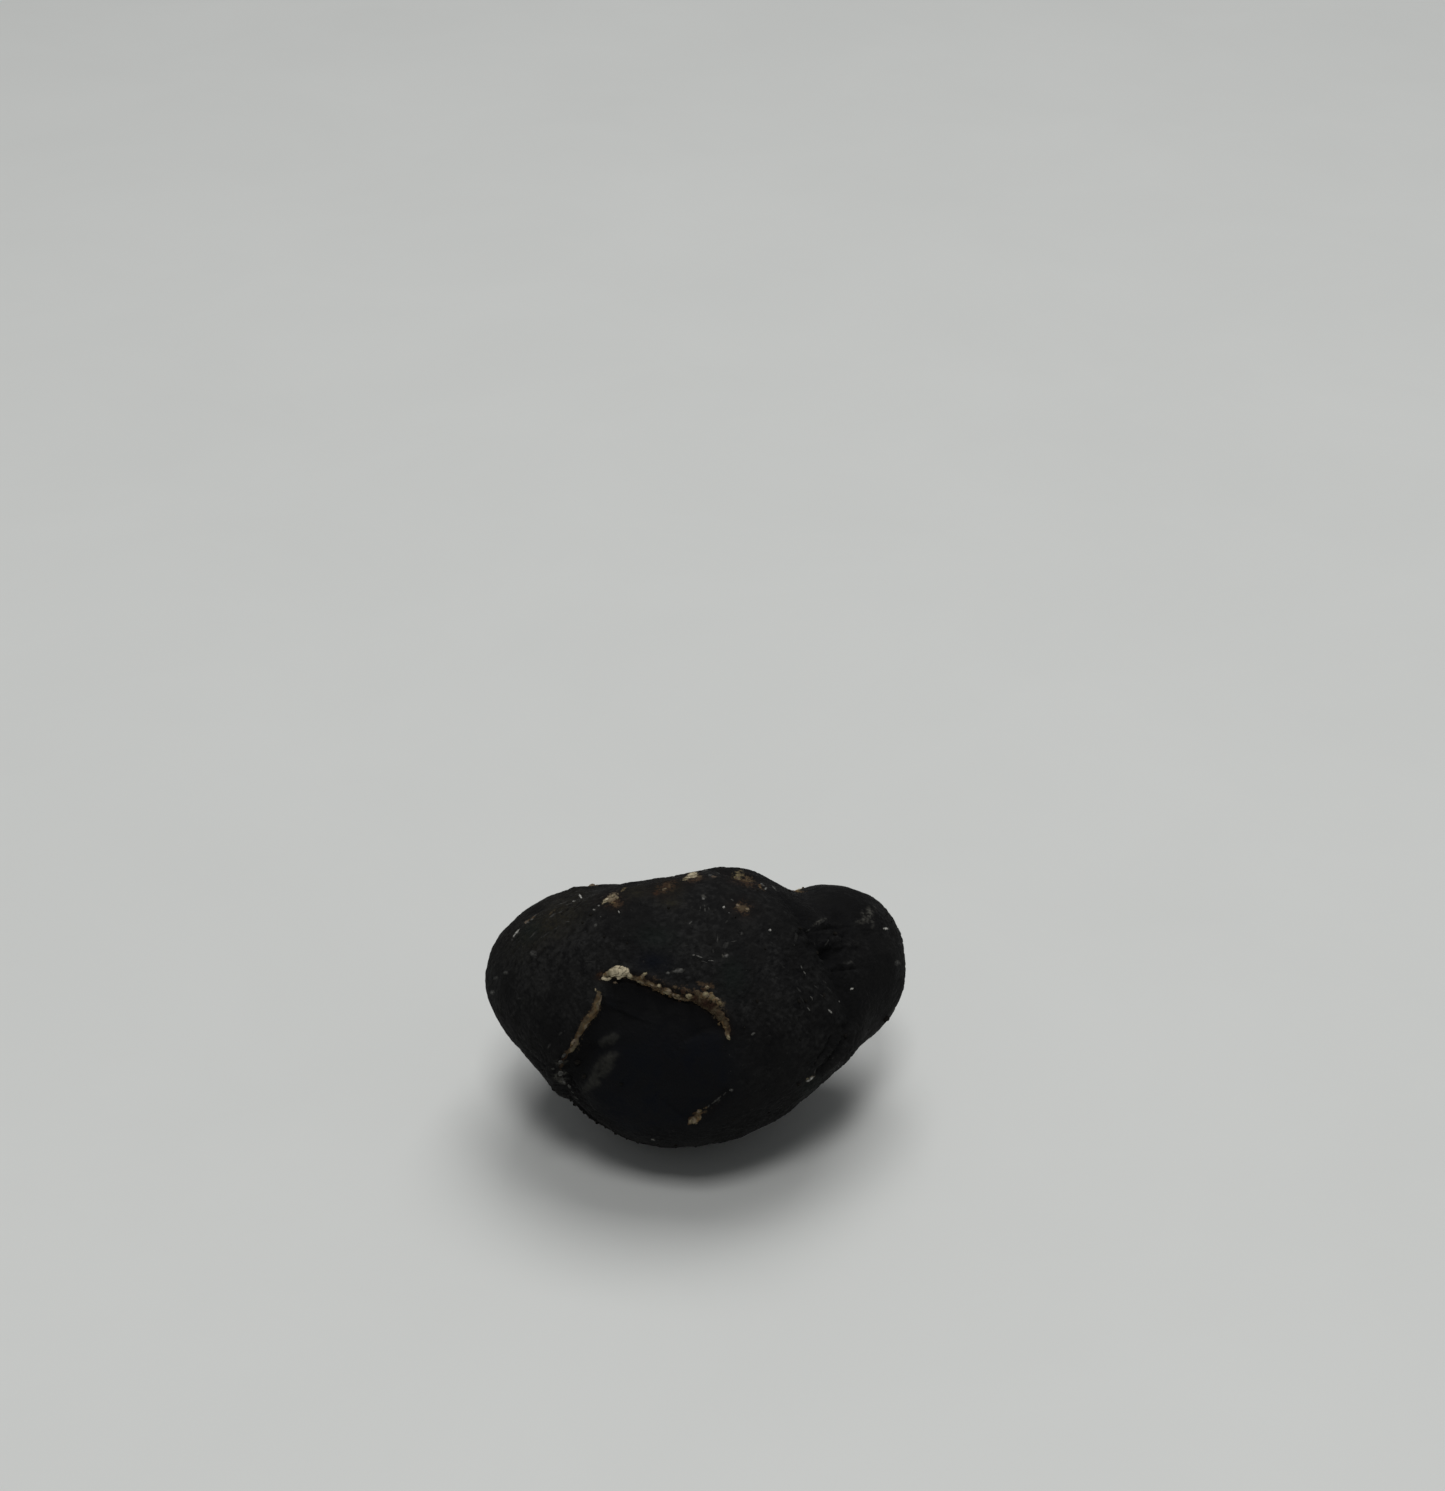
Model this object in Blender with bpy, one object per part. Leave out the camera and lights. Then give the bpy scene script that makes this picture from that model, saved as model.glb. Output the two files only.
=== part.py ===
"""A whole black truffle, one body: a lumpy form, low warts, cracks, pits and a small flat spot to rest on.

Run it with blender --background --python part.py, or from Blender's text editor.
The sizes below are in millimetres. The object is in metres, +Z up, the longest way along X.
Its origin is at the bottom, under the middle of its box.
"""

import math
import random

import bmesh
import bpy
import numpy as np
from mathutils import Vector, noise

MM = 0.001
NAME = "truffle"
COLLECTION = "black_truffle"
SKIN_COLOUR = (0.014, 0.0135, 0.0125, 1.0)
SKIN_ROUGHNESS = 0.85

# The heart: a point inside that sees the whole surface, so each direction from it has one radius
HEART = np.array((-0.3, -1.2, 17.0))
LONGEST_RADIUS = 45.0
SOLVER_STEPS = 24

# The look: a view of the front from above the horizon, in which the form and its marks are laid out
LOOK_TILT = math.radians(38)
LOOK_CENTRE = np.array((0.0, -0.6, 17.0))
EYE = np.array((3.2, -244.6, 208.0))
ACROSS = np.array((1.0, 0.0, 0.0))
UPWARD = np.array((0.0, math.sin(LOOK_TILT), math.cos(LOOK_TILT)))
NEARER = np.array((0.0, -math.cos(LOOK_TILT), math.sin(LOOK_TILT)))

# The main body is a rounded block of soft facets: (clock angle in the look, distance from the heart).
# 0 is to the right and 90 at the top. The rim facets are seen edge on, and the two rings lean
# towards the eye and away from it.
RIM = (
    (0, 24.0), (30, 22.6), (60, 20.2), (80, 17.8), (102, 17.9), (120, 21.2), (145, 27.4), (165, 27.6),
    (185, 25.8), (205, 22.6), (225, 20.4), (245, 18.3), (270, 18.3), (290, 17.8), (308, 17.4), (325, 22.0),
)
NEAR_RING = ((20, 19.6), (80, 18.5), (140, 22.0), (200, 21.0), (260, 18.0), (320, 18.8))
FAR_RING = ((20, 20.0), (80, 18.4), (140, 21.5), (200, 20.5), (260, 18.5), (320, 19.2))
RING_LEAN = 50
POLE_LEAN = 90
NEAR_POLE = 18.0
FAR_POLE = 18.0
FACET_ROUNDING = 9.0

# Lobes that swell out of the main body: centre and half sizes
LOBES = {
    "right_knob": ((16.6, 5.0, 19.0), (9.4, 10.6, 10.4)),
    "crown": ((3.4, 0.4, 19.6), (11.8, 14.6, 14.3)),
    "left_shoulder": ((-13.2, 0.8, 20.5), (12.6, 12.6, 10.4)),
    "back_swell": ((-10.0, 8.4, 13.5), (10.5, 9.8, 9.8)),
    "heel": ((4.0, 9.4, 13.5), (9.5, 9.4, 9.4)),
}
LOBE_BLEND = 2.0

# Slow waves over the whole body
WAVE_LENGTH = 9.0
WAVE_HEIGHT = 0.55

# Warts: each is a low pyramid with about six sides, drawn larger than life
WART_COUNT = 1600
WART_RELIEF = 0.3
WART_JITTER = 0.3
WART_SEED = 11
STRETCH = np.array((26.0, 18.5, 17.7))
WORN_PATCH = 11.0

# Cracks: points (across, up) in the look, ordered so that the sunken side is on the right hand
CRACKS = {
    "upper": dict(
        points=((-12.3, 3.7), (-9.9, 4.1), (-8.2, 3.3), (-5.6, 2.5), (-2.1, 1.2), (0.1, 0.7),
                (1.5, 0.0), (3.0, -1.1), (3.5, -2.0), (3.8, -3.5)),
        width=0.75, depth=0.75, lip=0.3, step=1.0,
    ),
    "left": dict(
        points=((-15.4, -11.5), (-16.8, -9.3), (-17.3, -8.3), (-16.7, -6.4), (-15.2, -4.3),
                (-14.0, -1.7), (-12.8, 0.0), (-12.3, 1.7), (-12.4, 2.5)),
        width=0.65, depth=0.65, lip=0.25, step=0.9,
    ),
    "low": dict(
        points=((4.6, -9.7), (3.5, -11.0), (1.7, -12.8), (0.0, -13.5), (-1.0, -14.5)),
        width=0.7, depth=0.6, lip=0.1, step=0.3,
    ),
    "crease": dict(
        points=((18.2, -3.7), (17.1, -5.4), (15.7, -7.2), (14.1, -8.9)),
        width=0.8, depth=0.6, lip=0.15, step=0.2,
    ),
}

# Cracks on the back and the underside: points (longitude, latitude) from the heart, longitude 0 in front
BACK_CRACKS = {
    "back_long": dict(
        points=((128, 22), (141, 30), (155, 27), (168, 33), (183, 29), (196, 21)),
        width=0.7, depth=0.7, lip=0.25, step=0.6,
    ),
    "back_short": dict(
        points=((206, 2), (215, -6), (222, -17), (232, -24)),
        width=0.65, depth=0.6, lip=0.2, step=0.4,
    ),
    "heel_fold": dict(
        points=((150, -12), (158, -22), (161, -34), (170, -44)),
        width=0.7, depth=0.6, lip=0.2, step=0.3,
    ),
}
STEP_FADE = 5.0
END_TAPER = 0.1
LINE_SPACING = 0.4
PULL_REACH = 1.5
PULL_POWER = 0.55

# Pits and mounds in the look: (across, up, radius, depth), a mound with its depth under zero
PITS = (
    (16.1, 8.4, 1.6, 1.1), (18.0, 10.3, 1.2, 0.7), (15.0, 10.6, 1.0, 0.6), (19.2, 7.4, 1.3, 0.7),
    (17.1, 5.9, 1.1, 0.6), (-15.0, -7.7, 1.6, 0.8), (-11.4, -7.4, 2.2, -0.5), (-11.4, -4.3, 1.4, -0.25),
)
BACK_PIT_COUNT = 16
BACK_PIT_SEED = 5
BACK_PIT_RADIUS = (0.9, 1.7)
BACK_PIT_DEPTH = (0.4, 0.9)


def clear_scene():
    """Empties the scene."""
    for item in list(bpy.data.objects):
        bpy.data.objects.remove(item)


def facet_normals():
    """Unit normals of the main body's facets, with their distances from the heart."""
    laid_out = [(clock, 0, reach) for clock, reach in RIM]
    laid_out += [(clock, RING_LEAN, reach) for clock, reach in NEAR_RING]
    laid_out += [(clock, -RING_LEAN, reach) for clock, reach in FAR_RING]
    laid_out += [(0, POLE_LEAN, NEAR_POLE), (0, -POLE_LEAN, FAR_POLE)]
    normals = []
    for clock, lean, _ in laid_out:
        turn = math.radians(clock)
        tip = math.radians(lean)
        sideways = math.cos(turn) * ACROSS + math.sin(turn) * UPWARD
        normals.append(math.cos(tip) * sideways + math.sin(tip) * NEARER)
    return np.array(normals), np.array([reach for _, _, reach in laid_out])


FACET_NORMALS, FACET_REACH = facet_normals()


def block_distance(points):
    """Rough signed distance to the rounded block of facets, negative inside."""
    offsets = points - HEART
    shares = np.maximum(offsets @ FACET_NORMALS.T / FACET_REACH, 0)
    gauge = np.maximum((shares**FACET_ROUNDING).sum(-1) ** (1 / FACET_ROUNDING), 1e-6)
    return np.linalg.norm(offsets, axis=-1) * (1 - 1 / gauge)


def lobe_distance(points, centre, half):
    """Rough signed distance to an ellipsoid, negative inside."""
    offsets = points - np.array(centre)
    half = np.array(half)
    near = np.linalg.norm(offsets / half, axis=-1)
    slope = np.linalg.norm(offsets / half**2, axis=-1)
    return near * (near - 1) / np.maximum(slope, 1e-9)


def smooth_minimum(first, second, blend):
    """The lower of two distances, with the join rounded over the blend length."""
    share = np.clip(0.5 + 0.5 * (second - first) / blend, 0, 1)
    return second * (1 - share) + first * share - blend * share * (1 - share)


def body_distance(points):
    """Rough signed distance to the whole smooth form."""
    distance = block_distance(points)
    for centre, half in LOBES.values():
        distance = smooth_minimum(distance, lobe_distance(points, centre, half), LOBE_BLEND)
    return distance


def first_crossing(start, rays, low, high):
    """The length along each ray from start at which it leaves the form, by halving."""
    low = np.full(len(rays), low)
    high = np.full(len(rays), high)
    for _ in range(SOLVER_STEPS):
        middle = (low + high) / 2
        inside = body_distance(start + rays * middle[:, None]) < 0
        low = np.where(inside, middle, low)
        high = np.where(inside, high, middle)
    return (low + high) / 2


def smooth_points(directions):
    """Points of the smooth form along directions from the heart."""
    return HEART + directions * first_crossing(HEART, directions, 5.0, LONGEST_RADIUS)[:, None]


def seen_at(across, up):
    """The point of the smooth form that the look sees at that place."""
    target = LOOK_CENTRE + across * ACROSS + up * UPWARD
    ray = target - EYE
    ray = ray / np.linalg.norm(ray)
    to_plane = np.linalg.norm(target - EYE)
    back = first_crossing(target, -ray[None, :], 0.0, LONGEST_RADIUS)[0]
    return EYE + ray * (to_plane - back)


def facing(longitude, latitude):
    """Unit direction from the heart; longitude 0 is the front and 90 the right."""
    turn = math.radians(longitude)
    rise = math.radians(latitude)
    return np.array((math.sin(turn) * math.cos(rise), -math.cos(turn) * math.cos(rise), math.sin(rise)))


def dense_line(corners):
    """A line through the corners, laid on the smooth form with a point about every LINE_SPACING."""
    points = []
    for start, end in zip(corners[:-1], corners[1:]):
        count = max(2, round(np.linalg.norm(end - start) / LINE_SPACING))
        points += [start + (end - start) * step / count for step in range(count)]
    points.append(corners[-1])
    offsets = np.array(points) - HEART
    return smooth_points(offsets / np.linalg.norm(offsets, axis=1, keepdims=True))


def crack_lines():
    """Every crack as (line of points, its sizes)."""
    lines = []
    for crack in CRACKS.values():
        lines.append((dense_line([seen_at(across, up) for across, up in crack["points"]]), crack))
    for crack in BACK_CRACKS.values():
        corners = smooth_points(np.array([facing(turn, rise) for turn, rise in crack["points"]]))
        lines.append((dense_line(list(corners)), crack))
    return lines


def place_on_line(points, line):
    """For each point: nearest place on the line, distance, side (right hand over 0) and share of its length."""
    starts = line[:-1]
    spans = line[1:] - starts
    offsets = points[:, None, :] - starts[None, :, :]
    share = np.clip((offsets * spans).sum(-1) / (spans * spans).sum(-1), 0, 1)
    nearest = starts[None, :, :] + share[..., None] * spans
    distance = np.linalg.norm(points[:, None, :] - nearest, axis=-1)
    best = distance.argmin(1)
    rows = np.arange(len(points))
    outward = points - HEART
    right_hand = np.cross(spans[best], outward)
    side = np.sign(((points - nearest[rows, best]) * right_hand).sum(-1))
    along = (best + share[rows, best]) / len(spans)
    return nearest[rows, best], distance[rows, best], side, along


def pull_to_lines(points, lines):
    """Draws nearby points in towards each crack, so that its edges are crisp."""
    for line, _ in lines:
        nearest, distance, _, _ = place_on_line(points, line)
        close = distance < PULL_REACH
        factor = np.where(close, (np.maximum(distance, 1e-6) / PULL_REACH) ** PULL_POWER, 1.0)
        points = nearest + (points - nearest) * factor[:, None]
    offsets = points - HEART
    return offsets / np.linalg.norm(offsets, axis=1, keepdims=True)


def rise_between(values, start, end):
    """0 up to start, 1 from end on, smooth between."""
    share = np.clip((values - start) / (end - start), 0, 1)
    return share * share * (3 - 2 * share)


def crack_relief(points, lines):
    """Groove, raised lip and sunken side of every crack."""
    relief = np.zeros(len(points))
    for line, crack in lines:
        _, distance, side, along = place_on_line(points, line)
        width = crack["width"]
        taper = rise_between(along, 0, END_TAPER) * rise_between(1 - along, 0, END_TAPER)
        groove = -crack["depth"] * np.exp(-((distance / width) ** 2))
        lip = crack["lip"] * np.exp(-(((distance - 1.6 * width) / width) ** 2)) * (side < 0)
        fall = rise_between(distance, 0, width) * np.exp(-((distance / STEP_FADE) ** 2))
        relief += taper * (groove + lip - crack["step"] * fall * (side > 0))
    return relief


def pit_relief(points):
    """Pits and mounds, in front by place and behind by a seeded draw."""
    draw = random.Random(BACK_PIT_SEED)
    marks = [(seen_at(across, up), radius, depth) for across, up, radius, depth in PITS]
    for _ in range(BACK_PIT_COUNT):
        place = smooth_points(facing(draw.uniform(100, 265), draw.uniform(-45, 70))[None, :])[0]
        marks.append((place, draw.uniform(*BACK_PIT_RADIUS), draw.uniform(*BACK_PIT_DEPTH)))
    relief = np.zeros(len(points))
    for place, radius, depth in marks:
        distance = np.linalg.norm(points - place, axis=1)
        relief -= depth * np.exp(-((distance / radius) ** 2))
    return relief


def slow_noise(points, length):
    """Smooth noise from -1 to 1 that changes over that length."""
    return np.array([noise.noise(Vector(point) / length) for point in points])


def wart_tops():
    """Places of the warts' tops: an even spiral over an ellipsoid, jittered by a seeded draw."""
    draw = random.Random(WART_SEED)
    golden_turn = math.pi * (3 - math.sqrt(5))
    spacing = math.sqrt(4 * math.pi / WART_COUNT)
    tops = []
    for count in range(WART_COUNT):
        height = 1 - (2 * count + 1) / WART_COUNT
        ring = math.sqrt(1 - height * height)
        turn = count * golden_turn
        shift = [draw.uniform(-WART_JITTER, WART_JITTER) * spacing for _ in range(3)]
        top = Vector((height, ring * math.cos(turn), ring * math.sin(turn))) + Vector(shift)
        tops.append(Vector(np.array(top.normalized()) * STRETCH))
    return tops


def wart_net():
    """A closed net whose first points are the warts' tops, each in a ring of valley points."""
    net = bmesh.new()
    for top in wart_tops():
        net.verts.new(top)
    bmesh.ops.convex_hull(net, input=net.verts[:])
    top_edges = net.edges[:]
    bmesh.ops.poke(net, faces=net.faces[:])
    bmesh.ops.rotate_edges(net, edges=top_edges, use_ccw=False)
    net.verts.ensure_lookup_table()
    return net


def truffle_points(directions, is_top):
    """The finished surface along directions from the heart, in millimetres."""
    lines = crack_lines()
    directions = pull_to_lines(smooth_points(directions), lines)
    base = smooth_points(directions)
    worn = 0.75 + 0.35 * slow_noise(base, WORN_PATCH)
    relief = WART_RELIEF * worn * np.where(is_top, 0.5, -0.5)
    relief += WAVE_HEIGHT * slow_noise(base, WAVE_LENGTH)
    relief += crack_relief(base, lines) + pit_relief(base)
    radius = np.linalg.norm(base - HEART, axis=1) + relief
    downward = np.maximum(-directions[:, 2], 1e-6)
    radius = np.minimum(radius, HEART[2] / downward)
    points = HEART + directions * radius[:, None]
    points[:, 2] = np.maximum(points[:, 2], 0)
    return points


def skin_material():
    """Matt black skin."""
    material = bpy.data.materials.new("truffle_skin")
    material.use_nodes = True
    shader = material.node_tree.nodes["Principled BSDF"]
    shader.inputs["Base Color"].default_value = SKIN_COLOUR
    shader.inputs["Roughness"].default_value = SKIN_ROUGHNESS
    shader.inputs["Metallic"].default_value = 0.0
    return material


def build_truffle(collection):
    """The one solid: the wart net blown out to the truffle's surface."""
    net = wart_net()
    places = np.array([vert.co for vert in net.verts])
    directions = places / np.linalg.norm(places, axis=1, keepdims=True)
    is_top = np.arange(len(places)) < WART_COUNT
    for vert, point in zip(net.verts, truffle_points(directions, is_top)):
        vert.co = Vector(point * MM)
    bmesh.ops.recalc_face_normals(net, faces=net.faces[:])
    mesh = bpy.data.meshes.new(NAME)
    net.to_mesh(mesh)
    net.free()
    mesh.materials.append(skin_material())
    mesh.shade_smooth()
    truffle = bpy.data.objects.new(NAME, mesh)
    collection.objects.link(truffle)
    return truffle


def main():
    clear_scene()
    collection = bpy.data.collections.new(COLLECTION)
    bpy.context.scene.collection.children.link(collection)
    build_truffle(collection)


main()
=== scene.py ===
# %% [markdown]
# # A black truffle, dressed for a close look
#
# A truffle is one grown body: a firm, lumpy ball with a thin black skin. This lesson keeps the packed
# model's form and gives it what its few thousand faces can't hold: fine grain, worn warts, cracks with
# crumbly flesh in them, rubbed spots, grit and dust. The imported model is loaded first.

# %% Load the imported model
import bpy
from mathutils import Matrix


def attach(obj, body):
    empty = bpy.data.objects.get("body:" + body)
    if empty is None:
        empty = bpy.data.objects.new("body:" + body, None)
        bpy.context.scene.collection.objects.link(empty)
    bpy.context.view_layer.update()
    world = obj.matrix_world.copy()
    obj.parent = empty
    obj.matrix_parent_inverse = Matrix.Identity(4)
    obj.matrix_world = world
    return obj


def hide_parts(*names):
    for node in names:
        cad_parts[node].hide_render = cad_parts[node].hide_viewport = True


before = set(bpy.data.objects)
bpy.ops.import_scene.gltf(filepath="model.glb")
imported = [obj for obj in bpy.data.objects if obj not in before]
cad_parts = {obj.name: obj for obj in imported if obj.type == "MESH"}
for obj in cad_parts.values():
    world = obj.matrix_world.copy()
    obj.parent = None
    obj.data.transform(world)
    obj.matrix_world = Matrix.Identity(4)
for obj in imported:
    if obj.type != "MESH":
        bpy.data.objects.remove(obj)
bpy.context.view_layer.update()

# %% Bring in the tools
import math
import random

import bmesh
import bpy
import numpy as np
from mathutils import Euler, Vector, noise
from mathutils.bvhtree import BVHTree
from mathutils.kdtree import KDTree

MM = 0.001
NODE = "truffle"
BODY = "root"

# %% [markdown]
# ## The camera
#
# The truffle lies in front of the camera and below the middle of its picture, so the line of sight to
# it drops 38 degrees while the camera itself is tipped 32. An orbit or a lens shift could frame it the
# same way, but a plain tipped camera is what took the photograph, and it gives the same perspective.
# Its distance follows from one length: the truffle is 52 mm long and 420 pixels wide in a picture
# of 1445 by 1491.

# %% Stand the camera where the photograph was taken
PICTURE_WIDTH = 1445
PICTURE_HEIGHT = 1491
LENS = 60.0
SENSOR = 36.0
TIP = math.radians(32)
TRUFFLE_PIXELS = 420.0
TRUFFLE_LENGTH = 52.0
AIM = Vector((0.0, -0.6, 17.0))
AIM_PIXEL = (697.0, 1008.0)

focal_pixels = LENS / SENSOR * PICTURE_HEIGHT
depth = TRUFFLE_LENGTH * focal_pixels / TRUFFLE_PIXELS
forward = Vector((0, math.cos(TIP), -math.sin(TIP)))
upright = Vector((0, math.sin(TIP), math.cos(TIP)))
sideways = (PICTURE_WIDTH / 2 - AIM_PIXEL[0]) / focal_pixels * depth
lift = (AIM_PIXEL[1] - PICTURE_HEIGHT / 2) / focal_pixels * depth
station = AIM - depth * forward + Vector((sideways, 0, 0)) + lift * upright

camera_data = bpy.data.cameras.new("photo_camera")
camera_data.lens = LENS
camera_data.sensor_width = SENSOR
camera_data.clip_start = 10 * MM
camera_data.clip_end = 20.0
camera = bpy.data.objects.new("photo_camera", camera_data)
camera.location = station * MM
camera.rotation_euler = Euler((math.pi / 2 - TIP, 0, 0))
bpy.context.scene.collection.objects.link(camera)
bpy.context.scene.camera = camera
print("camera, mm:", [round(value, 1) for value in station])

# %% [markdown]
# ## The smooth form
#
# The form is worked out the way a maker blocks out clay: a rounded block of soft facets, then lobes
# pushed out of it. The facets are laid out as one sees them from the camera, by clock angle, so each
# stretch of the outline has its own number. Sculpting by hand would also work, but a formula can be
# read at any fineness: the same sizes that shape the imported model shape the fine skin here.
#
# Everything is measured from the heart, a point inside that sees the whole surface. Each direction
# from it then has exactly one radius, and relief added along that direction can never fold over.

# %% The block of facets
HEART = np.array((-0.3, -1.2, 17.0))
LONGEST_RADIUS = 45.0
SOLVER_STEPS = 10
LOOK_TILT = math.radians(38)
LOOK_CENTRE = np.array((0.0, -0.6, 17.0))
EYE = np.array(station)
ACROSS = np.array((1.0, 0.0, 0.0))
UPWARD = np.array((0.0, math.sin(LOOK_TILT), math.cos(LOOK_TILT)))
NEARER = np.array((0.0, -math.cos(LOOK_TILT), math.sin(LOOK_TILT)))

RIM = (
    (0, 24.0), (30, 22.6), (60, 20.2), (80, 17.8), (102, 17.9), (120, 21.2), (145, 27.4), (165, 27.6),
    (185, 25.8), (205, 22.6), (225, 20.4), (245, 18.3), (270, 18.3), (290, 17.8), (308, 17.4), (325, 22.0),
)
NEAR_RING = ((20, 19.6), (80, 18.5), (140, 22.0), (200, 21.0), (260, 18.0), (320, 18.8))
FAR_RING = ((20, 20.0), (80, 18.4), (140, 21.5), (200, 20.5), (260, 18.5), (320, 19.2))
RING_LEAN = 50
POLE_LEAN = 90
NEAR_POLE = 18.0
FAR_POLE = 18.0
FACET_ROUNDING = 9.0


def facet_normals():
    laid_out = [(clock, 0, reach) for clock, reach in RIM]
    laid_out += [(clock, RING_LEAN, reach) for clock, reach in NEAR_RING]
    laid_out += [(clock, -RING_LEAN, reach) for clock, reach in FAR_RING]
    laid_out += [(0, POLE_LEAN, NEAR_POLE), (0, -POLE_LEAN, FAR_POLE)]
    normals = []
    for clock, lean, _ in laid_out:
        turn = math.radians(clock)
        tip = math.radians(lean)
        edge_on = math.cos(turn) * ACROSS + math.sin(turn) * UPWARD
        normals.append(math.cos(tip) * edge_on + math.sin(tip) * NEARER)
    return np.array(normals), np.array([reach for _, _, reach in laid_out])


FACET_NORMALS, FACET_REACH = facet_normals()


def block_distance(points):
    offsets = points - HEART
    shares = np.maximum(offsets @ FACET_NORMALS.T / FACET_REACH, 0)
    gauge = np.maximum((shares**FACET_ROUNDING).sum(-1) ** (1 / FACET_ROUNDING), 1e-6)
    return np.linalg.norm(offsets, axis=-1) * (1 - 1 / gauge)


print("facets of the block:", len(FACET_REACH))

# %% The lobes, joined with rounded seams
LOBES = {
    "right_knob": ((16.6, 5.0, 19.0), (9.4, 10.6, 10.4)),
    "crown": ((3.4, 0.4, 19.6), (11.8, 14.6, 14.3)),
    "left_shoulder": ((-13.2, 0.8, 20.5), (12.6, 12.6, 10.4)),
    "back_swell": ((-10.0, 8.4, 13.5), (10.5, 9.8, 9.8)),
    "heel": ((4.0, 9.4, 13.5), (9.5, 9.4, 9.4)),
}
LOBE_BLEND = 2.0


def lobe_distance(points, centre, half):
    offsets = points - np.array(centre)
    half = np.array(half)
    near = np.linalg.norm(offsets / half, axis=-1)
    slope = np.linalg.norm(offsets / half**2, axis=-1)
    return near * (near - 1) / np.maximum(slope, 1e-9)


def smooth_minimum(first, second, blend):
    share = np.clip(0.5 + 0.5 * (second - first) / blend, 0, 1)
    return second * (1 - share) + first * share - blend * share * (1 - share)


def body_distance(points):
    distance = block_distance(points)
    for centre, half in LOBES.values():
        distance = smooth_minimum(distance, lobe_distance(points, centre, half), LOBE_BLEND)
    return distance


def first_crossing(start, rays, low, high):
    """How far each ray goes before it leaves the form: a straight guess between two ends, again and again."""
    low = np.full(len(rays), low)
    high = np.full(len(rays), high)
    inner = body_distance(start + rays * low[:, None])
    outer = body_distance(start + rays * high[:, None])
    for _ in range(SOLVER_STEPS):
        middle = high - outer * (high - low) / (outer - inner)
        value = body_distance(start + rays * middle[:, None])
        inside = value < 0
        inner, outer = np.where(inside, value, inner / 2), np.where(inside, outer / 2, value)
        low = np.where(inside, middle, low)
        high = np.where(inside, high, middle)
    return middle


def smooth_points(directions):
    return HEART + directions * first_crossing(HEART, directions, 5.0, LONGEST_RADIUS)[:, None]


def unit(vectors):
    return vectors / np.linalg.norm(vectors, axis=-1, keepdims=True)


# %% Two ways to name a place on it
def seen_points(across, up):
    """The points that the camera sees there, in millimetres right of and above the truffle's middle."""
    targets = LOOK_CENTRE + np.outer(across, ACROSS) + np.outer(up, UPWARD)
    rays = unit(EYE - targets)
    return targets + rays * first_crossing(targets, rays, 0.0, LONGEST_RADIUS)[:, None]


def seen_at(across, up):
    return seen_points([across], [up])[0]


def facing(longitude, latitude):
    """The direction from the heart: longitude 0 is the front and 90 the right."""
    turn = math.radians(longitude)
    rise = math.radians(latitude)
    return np.array((math.sin(turn) * math.cos(rise), -math.cos(turn) * math.cos(rise), math.sin(rise)))


print("front of the form, mm:", seen_at(0, 0).round(1))

# %% [markdown]
# ## A net of points with no poles
#
# A UV sphere crowds its points at two poles, and grain would smear there. A cube cut into a grid and
# blown up to a ball has points that are nearly even all over, so it is the better start for skin. The
# net is stretched to the truffle's own proportions before its directions are read, which keeps the
# squares even on the long ends too. Last, it is drawn a little towards the viewer, so that the front,
# which is looked at most, has the closest points.

# %% Blow up the cube
GRID = 128
STRETCH = np.array((26.0, 18.5, 17.7))
DRAWN_NEARER = 0.2


def cube_net():
    net = bmesh.new()
    bmesh.ops.create_cube(net, size=2.0)
    bmesh.ops.subdivide_edges(net, edges=net.edges[:], cuts=GRID - 1, use_grid_fill=True)
    places = np.array([vert.co[:] for vert in net.verts])
    even = np.tan(places * math.pi / 4)
    return net, unit(unit(unit(even) * STRETCH) + DRAWN_NEARER * NEARER)


skin_net, directions = cube_net()
print("skin points:", len(directions), "triangles:", 2 * len(skin_net.faces))

# %% [markdown]
# ## Cracks
#
# The skin split as the truffle grew, and on the front one side of each split sank. Three things make
# a crack read as real: a groove, a lip where the skin curls up, and a little cliff down to the sunken
# side, where the pale inside shows. A displacement texture can't keep such a lip sharp, so the net's
# points are first drawn in towards each crack line, and the relief is then worked out from the
# distance to it. The valley beside the knob is the same thing, only wide and soft.

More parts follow.
